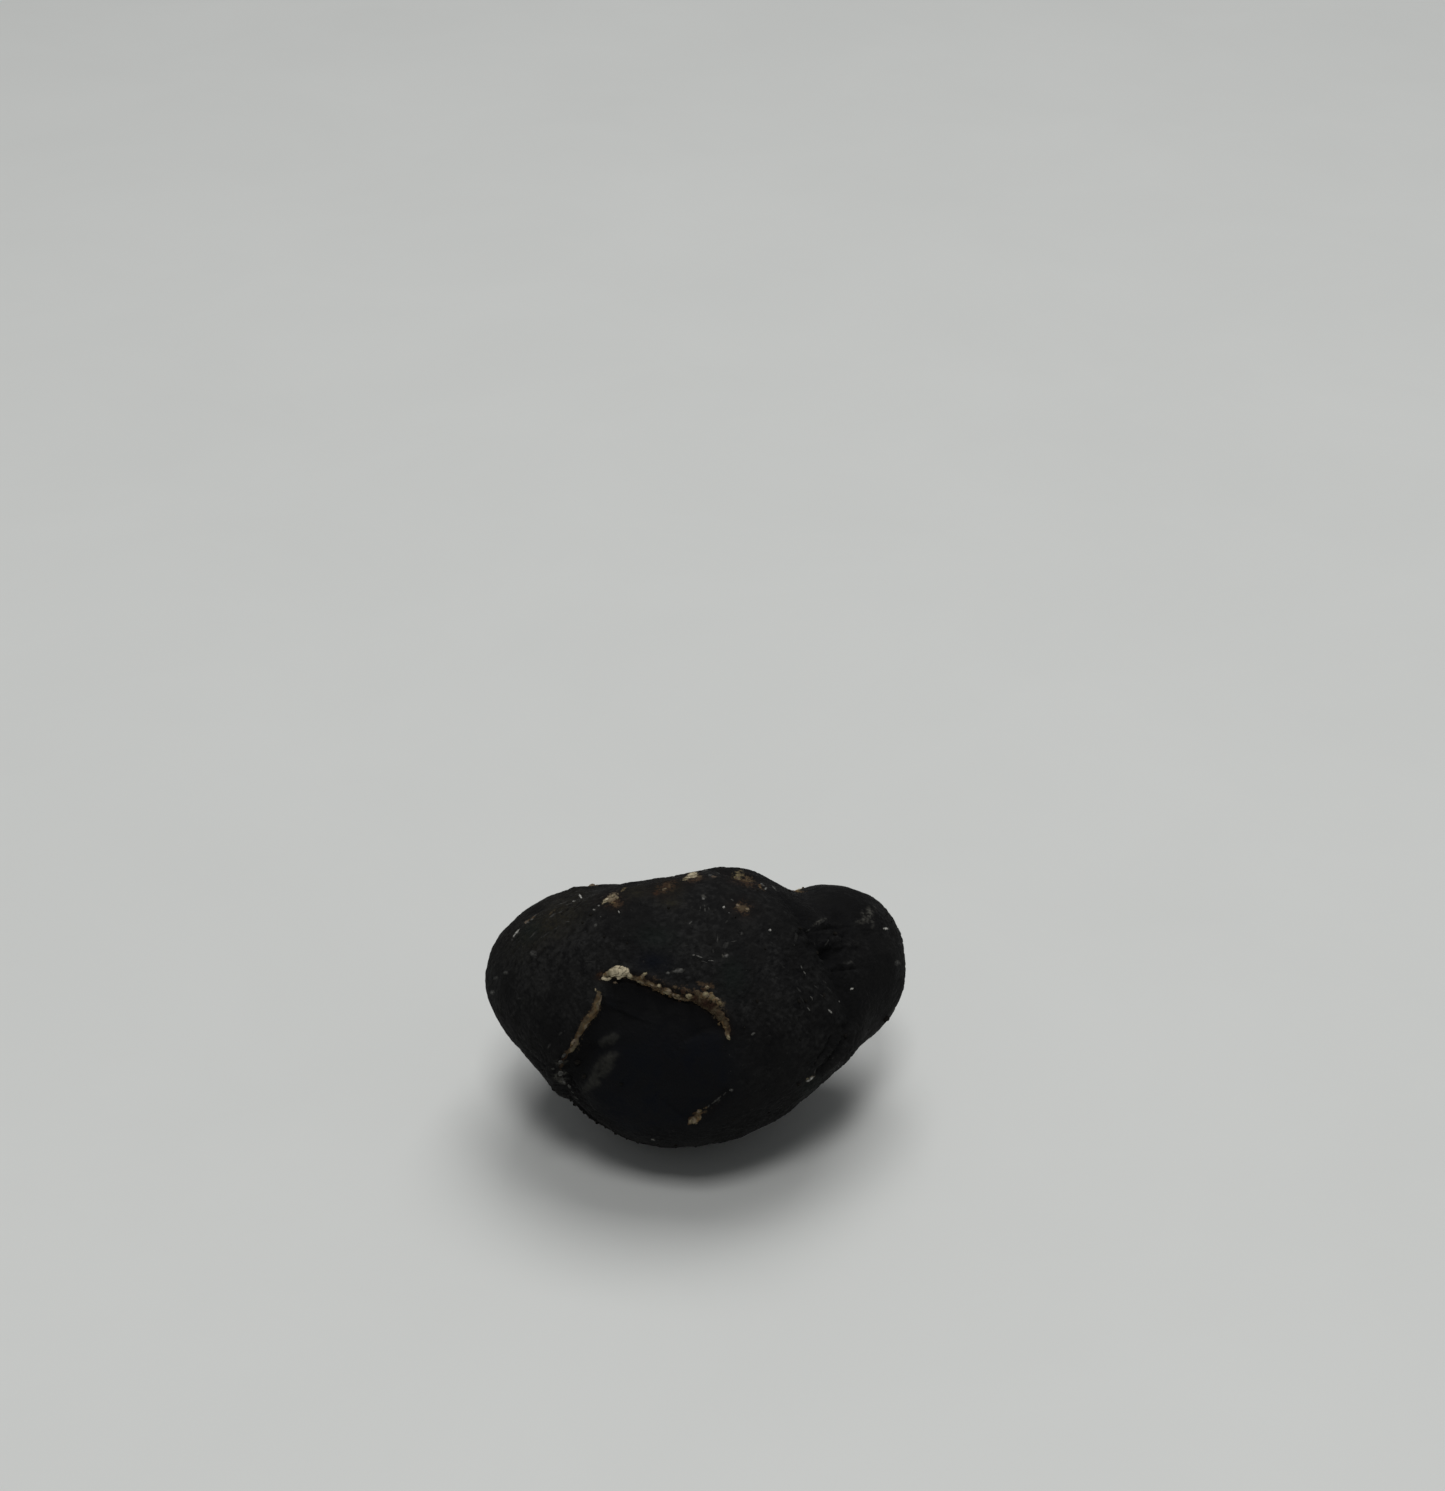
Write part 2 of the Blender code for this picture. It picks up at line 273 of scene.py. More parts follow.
# %% Where the cracks run
CRACKS = {
    "upper": dict(
        points=((-12.3, 3.6), (-11.4, 3.8), (-9.6, 4.1), (-8.0, 3.8), (-6.6, 3.5), (-5.7, 3.0), (-4.7, 2.6),
                (-3.6, 2.1), (-2.7, 1.65), (-2.0, 1.4), (-0.8, 1.35), (0.3, 1.05), (0.9, 0.7), (1.9, 0.1),
                (2.9, -0.75), (3.6, -1.6), (3.8, -2.4), (3.95, -3.5)),
        width=0.5, depth=0.3, lip=0.3, step=1.0,
    ),
    "left": dict(
        points=((-15.4, -11.5), (-16.8, -9.3), (-17.3, -8.3), (-16.7, -6.4), (-15.2, -4.3),
                (-14.0, -1.7), (-12.8, 0.0), (-12.3, 1.7), (-12.4, 2.5)),
        width=0.5, depth=0.35, lip=0.26, step=0.9,
    ),
    "low": dict(
        points=((4.6, -9.7), (3.5, -11.0), (1.7, -12.8), (0.0, -13.5), (-1.0, -14.5)),
        width=0.5, depth=0.4, lip=0.14, step=0.3,
    ),
    "crease": dict(
        points=((18.9, -1.5), (18.5, -3.7), (17.5, -5.4), (16.1, -7.0), (14.6, -8.4)),
        width=0.7, depth=0.6, lip=0.15, step=0.2,
    ),
    "second_crease": dict(
        points=((17.2, -3.3), (16.6, -4.6), (15.6, -5.9), (14.5, -7.3)),
        width=0.4, depth=0.3, lip=0.12, step=0.0,
    ),
    "valley": dict(
        points=((10.2, 14.4), (12.6, 12.4), (15.5, 8.5), (17.7, 3.8), (19.0, 0.2), (19.2, -3.2)),
        width=1.7, depth=0.75, lip=0.0, step=0.0,
    ),
}
BACK_CRACKS = {
    "back_long": dict(
        points=((128, 22), (141, 30), (155, 27), (168, 33), (183, 29), (196, 21)),
        width=0.5, depth=0.35, lip=0.26, step=0.7,
    ),
    "back_short": dict(
        points=((206, 2), (215, -6), (222, -17), (232, -24)),
        width=0.45, depth=0.4, lip=0.2, step=0.4,
    ),
    "heel_fold": dict(
        points=((150, -12), (158, -22), (161, -34), (170, -44)),
        width=0.55, depth=0.5, lip=0.2, step=0.3,
    ),
}
STEP_FADE = 5.0
END_TAPER = 0.1
LINE_SPACING = 0.4
LINE_WOBBLE = 0.2
LINE_WOBBLE_LENGTH = 0.9
PULL_REACH = 1.4
PULL_POWER = 0.62
PULL_WIDTH = 1.0
CRACK_REACH = 13.0
SWAY_SHIFTS = (Vector((9.3, -1.5, -8.0)), Vector((0.0, 0.0, 0.0)), Vector((6.3, 0.2, -2.7)))


def sways(points, length):
    """Three smooth noises for each point, one for each axis, from about -1 to 1."""
    places = [Vector(point) / length for point in points]
    return np.array([[noise.noise(place + shift) for shift in SWAY_SHIFTS] for place in places])


def dense_line(corners):
    """A wobbly line through the corners, laid on the form with a point about every LINE_SPACING."""
    points = []
    for start, end in zip(corners[:-1], corners[1:]):
        count = max(2, round(np.linalg.norm(end - start) / LINE_SPACING))
        points += [start + (end - start) * step / count for step in range(count)]
    points.append(corners[-1])
    points = np.array(points) + LINE_WOBBLE * sways(points, LINE_WOBBLE_LENGTH)
    return smooth_points(unit(points - HEART))


def crack_lines():
    lines = {}
    for name, crack in CRACKS.items():
        lines[name] = dense_line([seen_at(across, up) for across, up in crack["points"]])
    for name, crack in BACK_CRACKS.items():
        corners = smooth_points(np.array([facing(turn, rise) for turn, rise in crack["points"]]))
        lines[name] = dense_line(list(corners))
    return lines


CRACK_SIZES = {**CRACKS, **BACK_CRACKS}
crack_line = crack_lines()
print("cracks:", ", ".join(f"{name} {len(line)} points" for name, line in crack_line.items()))

# %% Distance and side of every point, crack by crack
FAR_AWAY = 99.0


def place_on_line(points, line):
    """Nearest place on the line, distance, side (right hand over 0) and share of the line's length."""
    middle = line.mean(0)
    reach = np.linalg.norm(line - middle, axis=1).max() + CRACK_REACH
    close = np.flatnonzero(np.linalg.norm(points - middle, axis=1) < reach)
    spans = line[1:] - line[:-1]
    best = np.zeros(len(close), int)
    least = np.full(len(close), FAR_AWAY)
    nearest = np.zeros((len(close), 3))
    along = np.zeros(len(close))
    near_points = points[close]
    for count, (start, span) in enumerate(zip(line[:-1], spans)):
        share = np.clip((near_points - start) @ span / (span @ span), 0, 1)
        place = start + share[:, None] * span
        distance = np.linalg.norm(near_points - place, axis=1)
        better = distance < least
        best[better] = count
        least[better] = distance[better]
        nearest[better] = place[better]
        along[better] = (count + share[better]) / len(spans)
    right_hand = np.cross(spans[best], near_points - HEART)
    side = np.sign(((near_points - nearest) * right_hand).sum(1))
    nothing = np.zeros(len(points))
    full = [np.zeros_like(points), np.full(len(points), FAR_AWAY), nothing, nothing.copy()]
    for target, found in zip(full, (nearest, least, side, along)):
        target[close] = found
    return full


def pull_to_lines(points):
    for name, line in crack_line.items():
        if CRACK_SIZES[name]["width"] > PULL_WIDTH:
            continue
        nearest, distance, _, _ = place_on_line(points, line)
        close = distance < PULL_REACH
        share = (np.maximum(distance[close], 1e-6) / PULL_REACH) ** PULL_POWER
        points[close] = nearest[close] + (points[close] - nearest[close]) * share[:, None]
    return unit(points - HEART)


directions = pull_to_lines(smooth_points(directions))
base = smooth_points(directions)
crack_place = {name: place_on_line(base, line) for name, line in crack_line.items()}
print("points within 1 mm of a crack:", sum(int((found[1] < 1).sum()) for found in crack_place.values()))

# %% Groove, lip and step
LIP_RAGGED = 0.5
LIP_RAGGED_LENGTH = 1.1
LIP_PLACE = 1.2
STEP_PLACE = 1.1


def rise_between(values, start, end):
    share = np.clip((values - start) / (end - start), 0, 1)
    return share * share * (3 - 2 * share)


def field(points, length, shift=0.0):
    """Smooth noise from about -1 to 1 that changes over that length in millimetres."""
    offset = Vector((shift, -shift, shift / 2))
    return np.array([noise.noise(Vector(point) / length + offset) for point in points])


def crack_relief():
    relief = np.zeros(len(base))
    ragged = 1 + LIP_RAGGED * field(base, LIP_RAGGED_LENGTH)
    for name, (_, distance, side, along) in crack_place.items():
        crack = CRACK_SIZES[name]
        width = crack["width"]
        taper = rise_between(along, 0, END_TAPER) * rise_between(1 - along, 0, END_TAPER)
        groove = -crack["depth"] * np.exp(-((distance / width) ** 2))
        lip = crack["lip"] * ragged * np.exp(-(((distance - LIP_PLACE * width) / width) ** 2)) * (side < 0)
        fall = rise_between(distance, 0, STEP_PLACE * width) * np.exp(-((distance / STEP_FADE) ** 2))
        relief += taper * (groove + lip - crack["step"] * fall * (side > 0))
    return relief


cracks_high = crack_relief()
print("crack relief, mm:", cracks_high.min().round(2), "to", cracks_high.max().round(2))

# %% [markdown]
# ## Where a mark is seen
#
# Pits, patches and streaks were noted from the camera's place, in millimetres across and up. Laying
# them on the form as round spots would shrink those near the outline, where the surface turns away.
# So each point of the net is told where the camera sees it, and a mark is an oval in that view. Points
# that face away from the camera take no part, and the back has marks of its own, placed by direction.

# %% Each point as the camera sees it
def seen_places(points):
    rays = points - EYE
    reach = ((LOOK_CENTRE - EYE) @ NEARER) / (rays @ NEARER)
    offsets = EYE + rays * reach[:, None] - LOOK_CENTRE
    return offsets @ ACROSS, offsets @ UPWARD


def net_normals(net, points):
    for vert, point in zip(net.verts, points):
        vert.co = Vector(point)
    net.normal_update()
    return np.array([vert.normal[:] for vert in net.verts])


seen_across, seen_up = seen_places(base)
base_normals = net_normals(skin_net, base)
turned_to_eye = (unit(EYE - base) * base_normals).sum(1)
in_view = rise_between(turned_to_eye, -0.04, 0.08)


def seen_oval(across, up, half_length, half_width, clock=0.0):
    """1 in the middle of an oval that the camera sees there, 0 well outside it."""
    turn = math.radians(clock)
    right = seen_across - across
    top = seen_up - up
    along = (right * math.cos(turn) + top * math.sin(turn)) / half_length
    beside = (top * math.cos(turn) - right * math.sin(turn)) / half_width
    return np.exp(-(along**2) - beside**2) * in_view


def round_spot(place, radius):
    return np.exp(-((np.linalg.norm(base - place, axis=1) / radius) ** 2))


print("points in view:", int((in_view > 0.5).sum()))

# %% [markdown]
# ## Pits, warts and grain
#
# Black truffle skin is a pavement of low warts. On this one they are rubbed down, and what one sees
# is a fine dark grain about half a millimetre across, like coarse sandpaper, with a rough nest of pits
# beside the knob. Sculpted detail at several sizes is added here as real relief: pits by place, warts
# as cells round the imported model's seeded points and round finer ones, wrinkles that run one way, and
# grains as small round bumps.

# %% Pits and mounds
PITS = (
    # across, up, half length, half width, clock angle, depth
    (17.1, 6.8, 1.1, 0.95, 0, 1.3), (16.2, 8.3, 0.4, 0.8, 5, -0.4), (17.0, 9.95, 2.6, 0.15, 3, 0.34),
    (15.4, 10.7, 1.1, 0.45, 25, -0.3), (18.6, 8.9, 0.8, 0.5, -30, 0.4), (18.4, 5.6, 1.2, 0.6, -5, -0.25),
    (18.7, 4.8, 1.6, 0.16, 4, 0.26), (14.3, 7.6, 0.5, 0.9, 0, 0.35), (20.2, 7.4, 0.8, 0.4, 30, 0.3),
    (14.2, 9.4, 0.9, 0.35, -35, 0.35), (21.0, 9.0, 0.8, 0.5, 0, 0.25), (12.9, 9.2, 0.5, 0.4, 0, 0.3),
    (-15.0, -6.6, 1.1, 1.7, -25, 0.75), (-16.3, -8.6, 0.7, 1.1, 15, 0.35), (-13.5, -4.9, 1.2, 0.5, 10, 0.4),
    (-9.4, -9.6, 1.4, 0.6, 40, 0.2), (18.6, -2.6, 0.5, 1.6, -10, -0.3), (16.9, -6.4, 0.4, 1.2, -38, -0.3),
    (-14.9, 14.6, 1.2, 0.8, 20, -0.35),
)
MOUNDS = (
    # across, up, half length, half width, clock angle, height
    (-11.5, -7.0, 1.7, 1.1, 50, 0.6), (-12.8, -8.9, 1.2, 0.8, 40, 0.4), (-10.4, -5.9, 0.8, 0.6, 0, 0.25),
    (-10.9, -3.9, 1.2, 0.65, 20, 0.5), (-11.8, -4.3, 0.5, 0.45, 0, 0.2), (-13.9, -10.0, 0.9, 0.5, 30, 0.25),
)
BACK_PIT_COUNT = 16
BACK_PIT_SEED = 5
BACK_PIT_RADIUS = (0.9, 1.7)
BACK_PIT_DEPTH = (0.4, 0.9)


def pit_relief():
    relief = np.zeros(len(base))
    for across, up, half_length, half_width, clock, height in MOUNDS:
        relief += height * seen_oval(across, up, half_length, half_width, clock)
    for across, up, half_length, half_width, clock, depth in PITS:
        relief -= depth * seen_oval(across, up, half_length, half_width, clock)
    draw = random.Random(BACK_PIT_SEED)
    for _ in range(BACK_PIT_COUNT):
        place = smooth_points(facing(draw.uniform(100, 265), draw.uniform(-45, 70))[None, :])[0]
        radius = draw.uniform(*BACK_PIT_RADIUS)
        relief -= draw.uniform(*BACK_PIT_DEPTH) * round_spot(place, radius)
    return relief


pits_high = pit_relief()
print("deepest pit, mm:", pits_high.min().round(2))

# %% Warts as cells round seeded tops
WART_COUNT = 1600
FINE_WART_COUNT = 5200
WART_JITTER = 0.3
FINE_WART_JITTER = 0.42
WART_SEED = 11
WART_HEIGHT = 0.1
FINE_WART_HEIGHT = 0.11
WORN_PATCH = 11.0
FINE_WORN_PATCH = 5.0
WART_GROOVE = 0.55
FINE_WART_GROOVE = 0.4
WART_LEVEL = 0.6
WART_WARP = 0.35
WART_WARP_LENGTH = 0.9


def wart_tops(wart_count, jitter):
    draw = random.Random(WART_SEED)
    golden_turn = math.pi * (3 - math.sqrt(5))
    spacing = math.sqrt(4 * math.pi / wart_count)
    tops = []
    for count in range(wart_count):
        height = 1 - (2 * count + 1) / wart_count
        ring = math.sqrt(1 - height * height)
        turn = count * golden_turn
        shift = [draw.uniform(-jitter, jitter) * spacing for _ in range(3)]
        tops.append(np.array((height, ring * math.cos(turn), ring * math.sin(turn))) + shift)
    return smooth_points(unit(unit(np.array(tops)) * STRETCH))


warp = WART_WARP * sways(base, WART_WARP_LENGTH)


def wart_cells(tops, groove):
    """For every point: 0 in the groove between two warts, up to 1 on a wart."""
    tree = KDTree(len(tops))
    for count, top in enumerate(tops):
        tree.insert(top, count)
    tree.balance()
    gaps = []
    for point in base + warp:
        (_, _, first), (_, _, second) = tree.find_n(point, 2)
        gaps.append(second - first)
    return rise_between(np.array(gaps), 0, groove)


wart_cell = wart_cells(wart_tops(WART_COUNT, WART_JITTER), WART_GROOVE)
fine_cell = wart_cells(wart_tops(FINE_WART_COUNT, FINE_WART_JITTER), FINE_WART_GROOVE)
worn = np.clip(0.6 + 0.9 * field(base, WORN_PATCH, 3.1), 0.1, 1.1)
fine_worn = np.clip(0.7 + 1.1 * field(base, FINE_WORN_PATCH, 4.4), 0.15, 1.3)
warts_high = WART_HEIGHT * worn * (wart_cell - WART_LEVEL)
warts_high += FINE_WART_HEIGHT * fine_worn * (fine_cell - WART_LEVEL)
print("wart relief, mm:", warts_high.min().round(2), "to", warts_high.max().round(2))

# %% Wrinkles that run one way, and the nest of pits
STREAK_WIDTH = 0.55
STREAK_STRETCH = 4.0
STREAK_SHARPNESS = 2.6
STREAK_HEIGHT = 0.07
CREASED_WIDTH = 0.6
CREASED_HEIGHT = 0.2
NEST_CELL = 1.0
NEST_CELL_HEIGHT = 0.55
SMALL_NEST_CELL = 0.52
SMALL_NEST_CELL_HEIGHT = 0.36
NEST_SHADE = 0.6
NEST_CONTRAST = 2.5
NEST_DUST_AND_HIGHLIGHT = 2.0
NEST_DUST_AND_HIGHLIGHT_LIMIT = 0.6


def streaks(clock, width, shift):
    """Noise drawn out along the clock angle that the camera sees: -1 in a furrow, 1 on a ridge."""
    turn = math.radians(clock)
    way = math.cos(turn) * ACROSS + math.sin(turn) * UPWARD
    squeezed = base - np.outer(base @ way, way) * (1 - 1 / STREAK_STRETCH)
    return 1 - STREAK_SHARPNESS * np.abs(field(squeezed, width, shift))


def cell_domes(size, shift):
    """0.5 on the middle of a cell, under 0 where cells meet."""
    offset = Vector((shift, shift / 2, 0))
    return 0.5 - np.array([noise.voronoi(Vector(point) / size + offset)[0][0] for point in base + warp])


left_streaks = streaks(42, STREAK_WIDTH, 2.2) * seen_oval(-17.5, 9.5, 8.0, 6.5, 30)
right_streaks = streaks(-42, STREAK_WIDTH, 6.1) * seen_oval(15.0, 1.5, 5.0, 8.0)
middle_streaks = streaks(75, STREAK_WIDTH, 8.3) * seen_oval(1.0, 11.0, 4.5, 4.5)
creased = streaks(-62, CREASED_WIDTH, 4.9) * seen_oval(17.0, -5.8, 3.2, 3.6)
nest = seen_oval(17.0, 7.6, 3.8, 3.3) + seen_oval(-16.4, -8.6, 1.7, 3.4, 15)
nest += 0.5 * seen_oval(21.0, 10.9, 1.6, 1.4)
wrinkles_high = STREAK_HEIGHT * (left_streaks + right_streaks + middle_streaks) + CREASED_HEIGHT * creased
nest_cells = cell_domes(NEST_CELL, 5.0)
small_nest_cells = cell_domes(SMALL_NEST_CELL, 5.7)
nest_high = nest * (NEST_CELL_HEIGHT * nest_cells + SMALL_NEST_CELL_HEIGHT * small_nest_cells)
nest_domes = nest_cells + small_nest_cells
nest_share = np.clip(nest, 0, 1)
# Painted shade: the nest is darkened where its cells meet. Its cell tops turn grey, dust and painted
# highlight in one, so the cells show.
nest_painted_shade = nest_share * np.clip(NEST_SHADE - NEST_CONTRAST * nest_domes, 0, 1)
nest_dust_and_highlight = nest_share * np.clip(NEST_DUST_AND_HIGHLIGHT * nest_domes, 0, NEST_DUST_AND_HIGHLIGHT_LIMIT)
wrinkles_high += nest_high
print("wrinkle relief, mm:", wrinkles_high.min().round(2), "to", wrinkles_high.max().round(2))

# %% Grain as small round bumps
GRAIN_SIZE = 0.6
GRAIN_HEIGHT = 0.055
GRAIN_REACH = 0.75
GRAIN_LEVEL = 0.4
GRAIN_PATCH = 4.0
FINE_SIZE = 0.3
FINE_HEIGHT = 0.02
WAVE_LENGTH = 9.0
WAVE_HEIGHT = 0.55
SMALL_WAVE_LENGTH = 2.6
SMALL_WAVE_HEIGHT = 0.2


def grain_bumps():
    """1 on the middle of a grain, 0 between grains."""
    nearest = [noise.voronoi(Vector(point) / GRAIN_SIZE)[0][0] for point in base]
    return np.clip(1 - np.array(nearest) / GRAIN_REACH, 0, 1)


grain = grain_bumps()
grain_patch = np.clip(0.8 + 0.9 * field(base, GRAIN_PATCH, 7.7), 0.25, 1.5)
fine = field(base, FINE_SIZE, 1.3)
grain_high = GRAIN_HEIGHT * grain_patch * (grain - GRAIN_LEVEL) + FINE_HEIGHT * fine
print("grain relief, mm:", grain_high.min().round(2), "to", grain_high.max().round(2))

# %% Add the relief up, and cut the flat spot
SUNKEN_CORNERS = ((-11.0, 3.4), (-6.0, 2.7), (-2.0, 1.1), (1.4, 0.0), (3.4, -2.2), (4.4, -9.8), (-0.6, -14.0),
                  (-8.5, -16.0), (-14.5, -12.0), (-15.4, -7.0), (-12.4, -0.2))
SUNKEN_EDGE = 1.0
SMOOTH_SHARE = 0.75
FLESH_CRACKS = ("upper", "left", "low", "back_long", "back_short")
FLESH_CALM = 0.8
FLESH_SMOOTH = 0.8
KNOB_SIDE = (22.5, -0.5, 3.2, 5.5)
CALM_WAVES = 0.5


def inside_corners(corners, edge):
    """1 inside the cornered area that the camera sees, falling to 0 at its edge over that width."""
    inner = np.full(len(base), FAR_AWAY)
    within = np.zeros(len(base), bool)
    corners = np.array(corners)
    for start, end in zip(corners, np.roll(corners, -1, axis=0)):
        span = end - start
        right = seen_across - start[0]
        top = seen_up - start[1]
        share = np.clip((right * span[0] + top * span[1]) / (span @ span), 0, 1)
        inner = np.minimum(inner, np.hypot(right - share * span[0], top - share * span[1]))
        crosses = (start[1] > seen_up) != (end[1] > seen_up)
        meets = start[0] + (seen_up - start[1]) * span[0] / (span[1] if span[1] else 1e-9)
        within ^= crosses & (seen_across < meets)
    return rise_between(np.where(within, inner, 0), 0, edge) * in_view


sunken = inside_corners(SUNKEN_CORNERS, SUNKEN_EDGE)
mounded = np.max([seen_oval(*mound[:5]) for mound in MOUNDS], axis=0)
calm = np.maximum(sunken * (1 - mounded), seen_oval(*KNOB_SIDE))
by_flesh = np.max([np.exp(-((crack_place[name][1] / FLESH_CALM) ** 2)) for name in FLESH_CRACKS], axis=0)
texture_high = (warts_high + grain_high) * (1 - SMOOTH_SHARE * calm) * (1 - FLESH_SMOOTH * by_flesh)
waves_high = WAVE_HEIGHT * field(base, WAVE_LENGTH)
waves_high += SMALL_WAVE_HEIGHT * field(base, SMALL_WAVE_LENGTH, 6.6) * (1 - CALM_WAVES * calm)
relief = waves_high + cracks_high + pits_high + wrinkles_high + texture_high
radius = np.linalg.norm(base - HEART, axis=1) + relief
radius = np.minimum(radius, HEART[2] / np.maximum(-directions[:, 2], 1e-6))
skin_points = HEART + directions * radius[:, None]
skin_points[:, 2] = np.maximum(skin_points[:, 2], 0)
print("skin box, mm:", skin_points.min(0).round(2), skin_points.max(0).round(2))

# %% [markdown]
# ## The skin as a piece
#
# Where a mark lies is worked out point by point, and stored on the mesh as named attributes. Painting
# a picture would do the same job, but attributes keep each mark a short formula, and the materials
# further down decide what a mark looks like. Flesh has a tone from 0, cream, through yellow, pale pink,
# ochre, tan, olive and brown to 1, rust. They are in order of lightness, so two tones mix cleanly.

# %% Tones of the flesh
CREAM_TONE = 0.0
YELLOW_TONE = 0.35
PINK_TONE = 0.48
OCHRE_TONE = 0.54
TAN_TONE = 0.6
OLIVE_TONE = 0.72
BROWN_TONE = 0.85
RUST_TONE = 1.0

# %% Rubbed patches: the palest and the brownest are stained round the edge
RUBBED = (
    # across, up, half length, half width, clock angle, tone, strength
    (-0.6, 16.3, 0.75, 0.36, 12, 0.05, 1.0),
    (-1.4, 15.95, 0.45, 0.25, 20, 0.3, 0.85),
    (-0.4, 15.9, 1.3, 0.45, 5, 0.92, 0.6),
    (0.4, 16.2, 0.5, 0.25, 0, 0.74, 0.65),
    (2.1, 16.1, 0.4, 0.2, 0, PINK_TONE, 0.55),
    (5.2, 16.7, 0.75, 0.28, -5, 0.54, 0.75),
    (6.5, 16.2, 0.9, 0.3, -25, 0.66, 0.7),
    (5.9, 15.8, 2.0, 0.6, -16, 0.92, 0.62),
    (7.9, 15.2, 0.8, 0.3, -35, TAN_TONE, 0.5),
    (5.8, 12.5, 0.95, 0.75, -10, 0.8, 0.78),
    (5.7, 12.5, 1.4, 1.1, -10, 0.95, 0.6),
    (5.1, 12.75, 0.38, 0.4, 0, 0.52, 0.85),
    (6.3, 12.25, 0.4, 0.32, 0, 0.5, 0.85),
    (-3.8, 15.0, 1.7, 0.9, 20, 0.94, 0.62),
    (-3.4, 15.2, 0.8, 0.3, 35, 0.82, 0.75),
    (-4.2, 14.8, 0.5, 0.24, 20, PINK_TONE, 0.7),
    (-5.0, 14.3, 0.6, 0.5, 0, RUST_TONE, 0.7),
    (-10.6, 13.5, 0.95, 0.55, 35, 0.42, 0.95),
    (-11.4, 13.1, 0.5, 0.28, 40, 0.2, 0.9),
    (-10.1, 12.7, 0.7, 0.5, -15, 0.86, 0.9),
    (-10.4, 13.0, 1.6, 1.0, -10, 0.95, 0.62),
    (-9.2, 14.5, 0.6, 0.2, 42, 0.55, 0.6),
    (0.4, 3.0, 0.9, 0.5, -20, BROWN_TONE, 0.6),
    (1.4, 2.7, 0.9, 0.55, -10, BROWN_TONE, 0.75),
    (-1.4, 2.3, 1.6, 0.5, -15, BROWN_TONE, 0.65),
    (-4.6, 3.5, 1.5, 0.4, -20, BROWN_TONE, 0.5),
    (2.9, 0.6, 1.2, 0.5, -50, OLIVE_TONE, 0.7),
    (-12.0, 4.0, 0.6, 0.35, 35, RUST_TONE, 0.8),
    (14.0, -8.6, 0.9, 0.3, 38, YELLOW_TONE, 0.5),
    (-20.7, 11.3, 0.9, 0.2, 42, 0.64, 0.6),
    (-21.4, 10.7, 0.45, 0.2, 45, PINK_TONE, 0.7),
    (-18.2, 11.9, 0.8, 0.14, 36, 0.7, 0.55),
)
BACK_RUBBED = (
    # longitude, latitude, radius, tone, strength
    (126, 36, 1.0, TAN_TONE, 0.75),
    (171, 45, 0.8, CREAM_TONE, 0.75),
    (232, 36, 1.1, PINK_TONE, 0.75),
    (150, 8, 0.8, PINK_TONE, 0.7),
    (262, 12, 0.9, TAN_TONE, 0.75),
    (205, 50, 1.1, OCHRE_TONE, 0.55),
)
HALO_SPREAD = 1.9
STAINED_TONES = (0.1, 0.9)

bare = np.zeros(len(base))
tone = np.full(len(base), TAN_TONE)
halo = np.zeros(len(base))
spots = []
for across, up, half_length, half_width, clock, spot_tone, strength in RUBBED:
    wide = seen_oval(across, up, half_length * HALO_SPREAD, half_width * HALO_SPREAD, clock)
    spots.append((seen_oval(across, up, half_length, half_width, clock), wide, spot_tone, strength))
for longitude, latitude, size, spot_tone, strength in BACK_RUBBED:
    place = smooth_points(facing(longitude, latitude)[None, :])[0]
    spots.append((round_spot(place, size), round_spot(place, size * HALO_SPREAD), spot_tone, strength))
for spot, wide, spot_tone, strength in spots:
    tone = np.where(strength * spot > bare, spot_tone, tone)
    bare = np.maximum(bare, strength * spot)
    if not STAINED_TONES[0] < spot_tone < STAINED_TONES[1]:
        halo = np.maximum(halo, strength * wide)
print("rubbed points:", int((bare > 0.4).sum()))

# %% Flesh on the cliff of each crack
CRACK_FLESH = {
    # share of the crack's length, half width, tone
    "upper": (
        (0.0, 0.12, 0.9), (0.05, 0.2, 0.85), (0.12, 0.24, 0.85), (0.2, 0.3, 0.9),
        (0.235, 0.5, 0.84), (0.3, 0.54, 0.8), (0.35, 0.5, 0.8), (0.41, 0.5, 0.78),
        (0.47, 0.54, 0.72), (0.52, 0.3, 0.72), (0.56, 0.26, 0.94), (0.6, 0.46, 0.84),
        (0.66, 0.68, 0.84), (0.72, 0.78, 0.82), (0.776, 0.8, 0.76), (0.83, 0.74, 0.72),
        (0.88, 0.64, 0.7), (0.93, 0.46, 0.74), (0.97, 0.32, 0.7), (1.0, 0.28, 0.48),
    ),
    "left": (
        (0.5, 0.1, 0.95), (0.55, 0.26, 0.8), (0.58, 0.24, 0.92), (0.61, 0.28, 0.97),
        (0.65, 0.42, 0.5), (0.7, 0.36, 0.5), (0.74, 0.38, 0.62), (0.78, 0.46, 0.62),
        (0.82, 0.54, 0.6), (0.86, 0.58, 0.68), (0.9, 0.5, 0.66), (0.94, 0.46, 0.58),
        (0.97, 0.34, 0.57), (1.0, 0.05, 0.46),
    ),
    "low": (
        (0.3, 0.05, 0.75), (0.45, 0.08, 0.74), (0.5, 0.12, 0.72), (0.6, 0.18, 0.74),
        (0.68, 0.28, 0.68), (0.75, 0.42, 0.56), (0.82, 0.36, 0.7), (0.88, 0.42, 0.58),
        (0.94, 0.44, 0.52), (1.0, 0.2, 0.8),
    ),
    "back_long": (
        (0.08, 0.1, 0.7), (0.2, 0.42, 0.3), (0.4, 0.34, 0.6), (0.6, 0.4, 0.36), (0.78, 0.1, 0.75),
    ),
    "back_short": (
        (0.15, 0.08, 0.75), (0.35, 0.35, 0.55), (0.6, 0.3, 0.8), (0.85, 0.06, 0.65),
    ),
}
CLIFF_MIDDLE = 0.12
CRACK_HALO = 0.55
